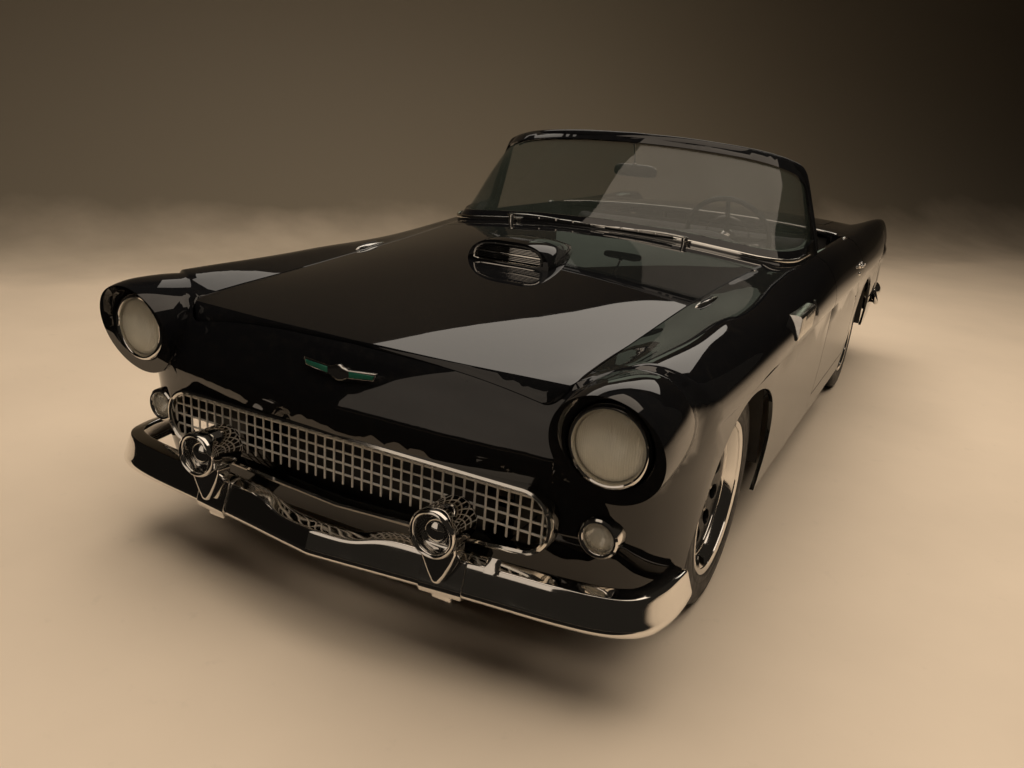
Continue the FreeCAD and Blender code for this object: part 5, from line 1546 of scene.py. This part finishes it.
class HOTROD_OT_dash(bpy.types.Operator):
    """Builds the dash: painted panel, instrument hood, dials, strips, knobs, radio plate and keys"""
    bl_idname = "hotrod.dash"
    bl_label = "Dash"

    def execute(self, context):
        settings = context.scene.hotrod
        paint = paint_material(tuple(settings.paint_colour), "dash_paint")
        bright = chrome_material("dash_bright", (0.8, 0.78, 0.74), (0.08, 0.16))
        turned_metal = satin_metal("dash_brushed_plate", (0.46, 0.44, 0.41), 0.28, (1.0, 30.0, 30.0))
        face_black = moulded_material("dial_black", (0.01, 0.01, 0.01), 0.4)
        face_pale = moulded_material("dial_marks", (0.55, 0.53, 0.46), 0.5)
        hood_hide = leather_material("dash_pad_hide", shade(settings.seat_colour, 0.8), 300.0)
        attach(polished("dashboard", paint, "dashboard_painted"), "body")
        # Instrument hood over the column
        rings = []
        for y, width, height in mm((-345, 50, 10), (-330, 105, 34), (-300, 132, 50), (-260, 142, 56), (-222, 142, 54),
                (-212, 138, 50)):
            ring = [at(COLUMN_X + width * math.cos(a), y, 0.872 + height * math.sin(a)) for a in [math.pi * k / 16
                for k in range(17)]]
            ring += [at(COLUMN_X + x, y, 0.866) for x in (-width * 0.7, 0.0, width * 0.7)]
            rings.append(ring)
        hood = lofted("instrument_hood", rings)
        rounded(hood, 0.003, 3, 40.0)
        placed(hood, hood_hide)
        dials, hands, marks = [], [], []
        for x, z, radius in mm((348, 800, 40), (225, 790, 28), (471, 790, 28)):
            spot = at(x, DASH_Y, z)
            bezel = turned("dial_bezel", [(radius * 0.9, 0.006), (radius * 0.93, 0.0085), (radius, 0.0075),
                (radius * 1.05, 0.002), (radius * 1.05, -0.01), (radius * 0.9, -0.01)], spot, Y, 48)
            dials.append(bezel)
            disc = turned("dial_face", [(0.0, 0.0022), (radius * 0.91, 0.0022), (radius * 0.91, -0.008),
                (0.0, -0.008)], spot, Y, 48)
            hands.append(disc)
            for k in range(21):
                a = math.radians(-130 + 13 * k)
                deep = 0.8 if k % 5 else 0.72
                out, inn = radius * 0.88, radius * deep
                marks.append((spot + at(-math.sin(a) * inn, 0.0026, math.cos(a) * inn), spot + at(-math.sin(a) * out,
                    0.0026, math.cos(a) * out)))
            marks.append((spot + at(0.0, 0.0035, 0.0), spot + at(radius * 0.55, 0.0035, radius * 0.45)))
        placed(joined(hands, "dial_faces"), face_black)
        placed(bars("dial_scale", marks, 0.0013, 0.0006, (0, 1, 0)), face_pale)
        # Brushed strip along the dash, bright edge strip above it, knobs, radio plate and its keys
        strip = swept("dash_strip", [at(x, -0.1845, 0.746) for x in (-0.62, -0.3, 0.0, 0.15)],
            oval(0.006, 0.03, 12, 0.5))
        placed(strip, turned_metal, angle=50.0)
        edge = swept("dash_edge_strip", [at(x, -0.1865, 0.8325) for x in (-0.67, -0.3, 0.0, 0.14)],
            oval(0.006, 0.007, 10))
        dials.append(edge)
        for x, z, radius in mm((75, 800, 12), (-75, 800, 12), (200, 738, 10), (270, 738, 10), (440, 738, 10),
                (510, 738, 10), (-335, 746, 9)):
            dials.append(turned("dash_knob", [(0.0, 0.024), (radius * 0.7, 0.0235), (radius * 0.95, 0.021),
                (radius, 0.016), (radius * 0.8, 0.01), (radius * 0.55, 0.006), (radius * 0.55, -0.008), (0.0, -0.008)],
                (x, DASH_Y, z), Y, 28))
        dials.append(slab("radio_plate", [(x, -0.1855, z) for x, z in mm((-52, 786), (52, 786), (52, 814),
            (-52, 814))], (0, 0.006, 0), 0.002))
        placed(joined(dials, "dash_bright_parts"), bright)
        keys = [slab("radio_key", [(x + dx, -0.179, z) for dx, z in ((0, 0.789), (0.013, 0.789), (0.013, 0.797),
            (0, 0.797))], (0, 0.004, 0), 0.001, 2) for x in (-0.043, -0.025, -0.007, 0.011, 0.029)]
        placed(joined(keys, "radio_keys"), face_black)
        return {"FINISHED"}


class HOTROD_OT_steering(bpy.types.Operator):
    """Builds the steering wheel: rim, spokes, horn ring and hub, and the column's collar and stalk"""
    bl_idname = "hotrod.steering"
    bl_label = "Steering wheel"

    def execute(self, context):
        rim_black = moulded_material("steering_rim_black", (0.009, 0.009, 0.009), 0.22, 60.0)
        bright = chrome_material("steering_bright")
        centre = at(COLUMN_X, 0.18, 0.864)
        lean = math.radians(25)
        axis = at(0, -math.cos(lean), -math.sin(lean))
        up = at(0, -math.sin(lean), math.cos(lean))
        ring = turned("steering_rim", [(0.185 + 0.011 * math.cos(a), 0.0115 * math.sin(a)) for a in turns(20)], centre,
            axis, 120)
        spokes = []
        for a in (0.0, math.pi, math.pi / 2):
            out = X * math.cos(a) + up * math.sin(a)
            side = axis.cross(out)
            rings = []
            for r, width, thick, deep in ((0.03, 0.034, 0.014, 0.022), (0.06, 0.027, 0.01, 0.012),
                    (0.11, 0.021, 0.008, 0.006), (0.155, 0.02, 0.009, 0.003), (0.182, 0.026, 0.013, 0.0)):
                rings.append([centre + out * r + axis * deep + side * (width / 2 * math.cos(t))
                    + axis * (thick / 2 * math.sin(t)) for t in turns(14)])
            spokes.append(refined(lofted("steering_spoke", rings)))
        placed(joined([ring] + spokes, "steering_rim_and_spokes"), rim_black, "steering_wheel", ("steering_wheel",),
            45.0)
        hub = turned("steering_hub", mm((0, -10), (16, -9.5), (26, -6), (31, 1), (38, 6), (40.5, 14), (39, 40),
            (34, 49.5), (0, 49.5)), centre, axis, 64)
        horn = turned("horn_ring", [(0.098 + 0.0042 * math.cos(a), 0.002 + 0.0042 * math.sin(a)) for a in turns(12)],
            centre, axis, 96)
        arms = [tube("horn_arm", [centre + X * s * 0.034 + axis * 0.002, centre + X * s * 0.066 + axis * -0.001,
            centre + X * s * 0.098 + axis * 0.002], 0.0036, sides=8) for s in (-1, 1)]
        placed(joined([hub, horn] + arms, "steering_bright_parts"), bright, "steering_wheel", ("steering_wheel",))
        start = centre + axis * 0.0515
        collar = turned("column_collar", mm((22.5, 0), (34, 1), (36, 6), (36, 40), (31, 50), (22.5, 54)), start, axis,
            48)
        stalk = tube("column_stalk", [start + axis * 0.026 + X * 0.03, start + axis * 0.024 + X * 0.08 + up * 0.006,
            start + axis * 0.02 + X * 0.14 + up * 0.014], 0.0036, sides=8)
        knob = turned("column_stalk_knob", mm((0, -2), (6, 0), (7.5, 8), (6, 17), (0, 19)), start + axis * 0.02
            + X * 0.14 + up * 0.014, X, 20)
        placed(joined([collar, stalk, knob], "column_bright_parts"), bright)
        return {"FINISHED"}


class HOTROD_OT_floor_cover(bpy.types.Operator):
    """Builds the carpet over the floor and tunnel, the pedals and the gear lever"""
    bl_idname = "hotrod.floor_cover"
    bl_label = "Carpet, pedals and lever"

    def execute(self, context):
        carpet = carpet_material()
        rubber = moulded_material("pedal_rubber", (0.01, 0.01, 0.01), 0.6)
        bright = chrome_material("lever_bright", (0.78, 0.76, 0.72), (0.06, 0.14))
        top = frame_top("floor_pan", 0.45, -0.2)
        crest = frame_top("floor_pan", 0.0, -0.2)
        half = [(0.0, crest + 0.007), (0.06, crest + 0.006), (0.1, crest - 0.006), (0.127, crest - 0.045),
            (0.1365, crest - 0.1), (0.1365, top + 0.022), (0.144, top + 0.01), (0.16, top + 0.007), (0.4, top + 0.007),
            (0.675, top + 0.007)]
        upper = [(-x, z) for x, z in reversed(half[1:])] + half
        lower = [(x * (0.995 if abs(x) > 0.14 else 0.96), z - 0.0062) for x, z in upper]
        for name, y0, y1 in (("carpet_front", -0.545, 0.2), ("carpet_rear", 0.692, 0.782)):
            ends = [[at(x, y, z) for x, z in upper + lower[::-1]] for y in (y0, y1)]
            made = lofted(name, ends)
            placed(made, carpet)
        toe = slab("carpet_toe_board", [(x, -0.5535, z) for x, z in ((-0.675, top + 0.008), (-0.15, top + 0.008),
            (-0.135, crest + 0.008), (0.135, crest + 0.008), (0.15, top + 0.008), (0.675, top + 0.008), (0.675, 0.64),
            (-0.675, 0.64))], (0, 0.006, 0), 0.0015)
        placed(toe, carpet)
        for side, sign in SIDES:
            kick = slab("kick_panel_" + side, [(sign * 0.684, y, z) for y, z in ((-0.546, top + 0.004),
                (-0.092, top + 0.004), (-0.092, 0.842), (-0.3, 0.846), (-0.4, 0.8), (-0.546, 0.7))],
                (sign * 0.004, 0, 0), 0.001, 2)
            placed(kick, carpet)
        pedals = []
        for x, z, width, height in mm((250, 400, 60, 50), (390, 400, 70, 50), (490, 370, 45, 110)):
            points = [at(x + a * width / 2, -0.44 - b * 0.012, z + b * height / 2) for a, b in ((-1, -1), (1, -1),
                (1, 1), (-1, 1))]
            pedals.append(slab("pedal_pad", points, (0, -0.012, -0.003), 0.004))
            pedals.append(tube("pedal_arm", [at(x, -0.452, z), at(x, -0.48, z + 0.06), at(x, -0.52, z + 0.15),
                at(x, -0.5475, z + 0.17)], 0.006, sides=8))
        placed(joined(pedals, "pedals"), rubber)
        lever = tube("gear_lever", [at(0.0, -0.06, crest + 0.004), at(0.0, -0.05, crest + 0.06),
            at(0.0, -0.02, crest + 0.15)], 0.0055, sides=10)
        boot = turned("gear_plate", mm((0, 0), (45, 0), (45, 2), (30, 6), (14, 16), (0, 18)),
            (0.0, -0.06, crest + 0.0065), Z, 40)
        placed(joined([lever, boot], "gear_lever_bright"), bright)
        knob = turned("gear_knob", mm((0, -6), (9, -4), (17, 6), (19.5, 16), (16, 27), (8, 33), (0, 34)),
            (0.0, -0.02, crest + 0.15), Z, 32)
        placed(knob, rubber)
        return {"FINISHED"}


class HOTROD_OT_door_trims(bpy.types.Operator):
    """Builds the door cards: pleated field, padded top roll, bright strip, winder and inner handle"""
    bl_idname = "hotrod.door_trims"
    bl_label = "Door cards"

    def execute(self, context):
        colour = tuple(context.scene.hotrod.seat_colour)
        hide = leather_material("door_hide", colour)
        bright = chrome_material("door_bright", (0.8, 0.78, 0.74), (0.06, 0.14))
        face = landing(("door_left",), (0.5, 0.3, 0.55), (1, 0, 0)).x
        rows = []
        count = 13
        y0, y1 = -0.07, 0.69
        for i in range(count * 4 + 1):
            t = i / (count * 4.0)
            y = y0 + (y1 - y0) * t
            deep = (0.0095, 0.0085, 0.0045, 0.0085)[i % 4]
            if i in (0, count * 4):
                deep = 0.003
            ring = [at(face - deep * s, y, z) for z, s in ((0.35, 0.35), (0.358, 0.8), (0.372, 1.0), (0.5, 1.0),
                (0.62, 1.0), (0.668, 1.0), (0.68, 0.8), (0.686, 0.35))]
            ring += [at(face + 0.0005, y, z) for z in (0.686, 0.52, 0.35)]
            rows.append(ring)
        card = lofted("door_card", rows)
        roll = []
        for t, size in ((0.0, 0.5), (0.03, 0.85), (0.1, 1.0), (0.5, 1.0), (0.9, 1.0), (0.97, 0.85), (1.0, 0.5)):
            y = y0 + (y1 - y0) * t
            roll.append([at(face - 0.011 * size * abs(math.sin(a)), y, 0.738 - 0.036 * size * math.cos(a))
                for a in [math.pi * k / 10 for k in range(11)]] + [at(face + 0.0005, y, 0.738 + dz * size)
                for dz in (0.034, -0.034)])
        pad_top = lofted("door_top_roll", roll)
        rest = []
        for t, size in ((0.0, 0.45), (0.05, 0.9), (0.2, 1.0), (0.8, 1.0), (0.95, 0.9), (1.0, 0.45)):
            y = 0.2 + 0.3 * t
            rest.append([at(face - 0.004 - 0.034 * size * (0.5 + 0.5 * math.cos(a)), y,
                0.575 + 0.022 * size * math.sin(a)) for a in turns(16)])
        arm = refined(lofted("door_arm_rest", rest))
        strip = swept("door_strip", [at(face - 0.0045, y, 0.6935) for y in (y0 + 0.004, 0.2, 0.45, y1 - 0.004)],
            oval(0.009, 0.01, 10))
        crank_spot = at(face - 0.002, 0.13, 0.5)
        crank = [turned("winder_hub", mm((0, 26), (10, 25.5), (15, 21), (17, 12), (21, 4), (21, 0), (0, 0)),
            crank_spot, -X, 32), tube("winder_arm", [crank_spot + at(-0.02, 0.0, 0.0), crank_spot + at(-0.024, 0.03,
            -0.022), crank_spot + at(-0.026, 0.062, -0.046)], 0.005, sides=8),
            turned("winder_knob", mm((0, 24), (8, 22.5), (10.5, 16), (9, 6), (6, 0), (0, 0)), crank_spot + at(-0.024,
            0.062, -0.046), -X, 28)]
        pull_spot = at(face - 0.002, 0.06, 0.635)
        crank += [turned("pull_hub", mm((0, 20), (8, 19.5), (13, 15), (17, 3), (17, 0), (0, 0)), pull_spot, -X, 32),
            tube("pull_lever", [pull_spot + at(-0.016, 0.0, 0.0), pull_spot + at(-0.021, 0.035, -0.002),
            pull_spot + at(-0.018, 0.075, -0.008)], 0.005, sides=8)]
        soft = joined([card, pad_top, arm], "door_card")
        metal = joined([strip] + crank, "door_card_bright")
        for made, material in ((soft, hide), (metal, bright)):
            paired(made, made.name + "_{}", material, "door_{}")
        return {"FINISHED"}

# Tail and underside

REAR_BLADE = ((360, 2196, 330, 470), (460, 2197, 330, 470), (560, 2196, 330, 470), (720, 2186, 330, 470),
    (820, 2150, 330, 470), (866, 2080, 336, 466), (880, 2010, 342, 458), (884, 1960, 350, 450))


class HOTROD_OT_rear_bumpers(bpy.types.Operator):
    """Builds the two rear bumpers with the exhaust outlets in their ends"""
    bl_idname = "hotrod.rear_bumpers"
    bl_label = "Rear bumpers"

    def execute(self, context):
        chrome = chrome_material("rear_bumper_chrome")
        soot = grime_material("outlet_soot", (0.006, 0.006, 0.006), 0.9)
        blade = refined(lofted("rear_blade", blade_rings(between(REAR_BLADE, 5), side=-1)))
        strut = slab("rear_strut", [(x, 2.144, z) for x, z in mm((336, 222), (394, 222), (394, 398), (336, 398))],
            (0, 0.04, 0), 0.006)
        spot = at(0.823, 2.1, 0.402)
        outlet = turned("outlet_rim", mm((40, 104), (43, 110), (49, 112), (55, 107), (58.5, 92), (59.5, 70),
            (58.5, 30), (50, 6), (30, -4), (0, -6), (0, 12), (36, 20), (39, 60)), spot, Y, 72)
        paired(joined([blade, strut, outlet], "rear_bumper"), "rear_bumper_{}", chrome, "body", ("rear_bumpers",),
            45.0)
        lining = turned("outlet_lining", mm((0, 22), (35, 24), (38.8, 60), (38.8, 98), (37.5, 98), (37, 60), (33, 30),
            (0, 28)), spot, Y, 48)
        paired(lining, "outlet_lining_{}", soot, angle=45.0)
        return {"FINISHED"}


class HOTROD_OT_tail_lamps(bpy.types.Operator):
    """Builds the round tail lamps: rings, reflectors and red lenses"""
    bl_idname = "hotrod.tail_lamps"
    bl_label = "Tail lamps"

    def execute(self, context):
        chrome = chrome_material("tail_lamp_chrome")
        red = lens_material("tail_lamp_glass", (0.33, 0.012, 0.01), 0.72, 0.0048)
        spot = at(0.792, 2.15, 0.652)
        ring = turned("tail_ring", mm((59, -30), (59, 10), (60.5, 15), (65, 16.5), (71.5, 13), (76.5, 6), (78, 0.8),
            (66.2, 0.6), (65.5, -30)), spot, Y, 96)
        bowl = turned("tail_bowl", mm((0, -26), (30, -22), (58.5, -4), (58.5, -10), (30, -30), (0, -34)), spot, Y, 64)
        lens = turned("tail_lens", mm((0, 26.5), (10, 26.2), (16, 23.5), (18, 21.5), (30, 20.5), (45, 16), (55, 10),
            (58.6, 5), (58.6, 1), (45, 11), (20, 16.5), (0, 18)), spot, Y, 96)
        paired(joined([ring, bowl], "tail_lamp"), "tail_lamp_{}", chrome, "body", ("lamp_rims",))
        paired(lens, "tail_lens_{}", red, "body", ("tail_lamp_lenses",))
        return {"FINISHED"}


class HOTROD_OT_underside(bpy.types.Operator):
    """Gives the chassis, the axles, the engine and the floor their finishes, and adds the trunk's side boards"""
    bl_idname = "hotrod.underside"
    bl_label = "Underside and engine bay"

    def execute(self, context):
        coat = grime_material("underbody_coat", (0.014, 0.013, 0.012))
        frame_black = grime_material("chassis_black", (0.01, 0.01, 0.01), 0.5)
        cast = satin_metal("cast_iron", (0.1, 0.095, 0.09), 0.6, metallic=0.6, grain=60.0)
        block = satin_metal("engine_enamel", (0.03, 0.03, 0.032), 0.35, metallic=0.2, grain=50.0)
        steel = satin_metal("spring_steel", (0.09, 0.085, 0.08), 0.5, (1.0, 12.0, 1.0))
        pipe = satin_metal("exhaust_steel", (0.34, 0.31, 0.28), 0.35, (1.0, 8.0, 1.0))
        core = moulded_material("radiator_black", (0.012, 0.012, 0.012), 0.5, 140.0)
        column = moulded_material("column_paint", (0.009, 0.009, 0.0095), 0.25, 80.0)
        for nodes, material in ((("floor_pan", "front_wheel_houses", "trunk_floor"), coat),
                (("chassis_frame",), frame_black), (("rear_axle", "front_suspension", "knuckle_left", "knuckle_right"),
                cast), (("engine_block",), block), (("leaf_springs", "drive_shaft"), steel),
                (("exhaust_pipes",), pipe), (("radiator",), core), (("steering_column",), column)):
            for node in nodes:
                dressed(frame["nodes"][node], material)
        # Board that closes each side of the trunk behind its wheel house, from the floor to just under the lid
        top = [landing(("trunk_lid", "rear_quarters"), (0.566, y, 0.5), Z).z - 0.008 for y in (1.5, 1.65, 1.8, 1.95,
            2.022)]
        points = [at(0.563, y, z) for y, z in zip((1.5, 1.65, 1.8, 1.95, 2.022), top)]
        board = slab("trunk_board", [at(0.563, 1.5, 0.456), *points, at(0.563, 2.022, 0.456)], X * 0.006, 0.0015, 2)
        paired(board, "trunk_board_{}", coat)
        return {"FINISHED"}


CLASSES = (StudioSettings, HotRodSettings, HOTROD_OT_stage, HOTROD_OT_panels, HOTROD_OT_front_bumper, HOTROD_OT_grille,
    HOTROD_OT_head_lamps, HOTROD_OT_badge, HOTROD_OT_wheels, HOTROD_OT_windscreen, HOTROD_OT_wipers, HOTROD_OT_mirror,
    HOTROD_OT_scoop, HOTROD_OT_side_trims, HOTROD_OT_handles, HOTROD_OT_deck_trims, HOTROD_OT_seats, HOTROD_OT_dash,
    HOTROD_OT_steering, HOTROD_OT_floor_cover, HOTROD_OT_door_trims, HOTROD_OT_rear_bumpers, HOTROD_OT_tail_lamps,
    HOTROD_OT_underside)
STEPS = [made.bl_idname.split(".")[1] for made in CLASSES[2:]]


class HOTROD_PT_build(bpy.types.Panel):
    """Lists the hot rod's pieces and their settings"""
    bl_label = "Hot rod"
    bl_idname = "HOTROD_PT_build"
    bl_space_type = "VIEW_3D"
    bl_region_type = "UI"
    bl_category = "Hot rod"

    def draw(self, context):
        for group in (context.scene.hotrod_studio, context.scene.hotrod):
            for name in group.__annotations__:
                self.layout.prop(group, name)
        for step in STEPS:
            self.layout.operator("hotrod." + step)


def register():
    for made in CLASSES + (HOTROD_PT_build,):
        bpy.utils.register_class(made)
    bpy.types.Scene.hotrod_studio = bpy.props.PointerProperty(type=StudioSettings)
    bpy.types.Scene.hotrod = bpy.props.PointerProperty(type=HotRodSettings)


def unregister():
    del bpy.types.Scene.hotrod
    del bpy.types.Scene.hotrod_studio
    for made in reversed(CLASSES + (HOTROD_PT_build,)):
        bpy.utils.unregister_class(made)


def main():
    register()
    for step in STEPS:
        getattr(bpy.ops.hotrod, step)()


if __name__ == "__main__":
    main()
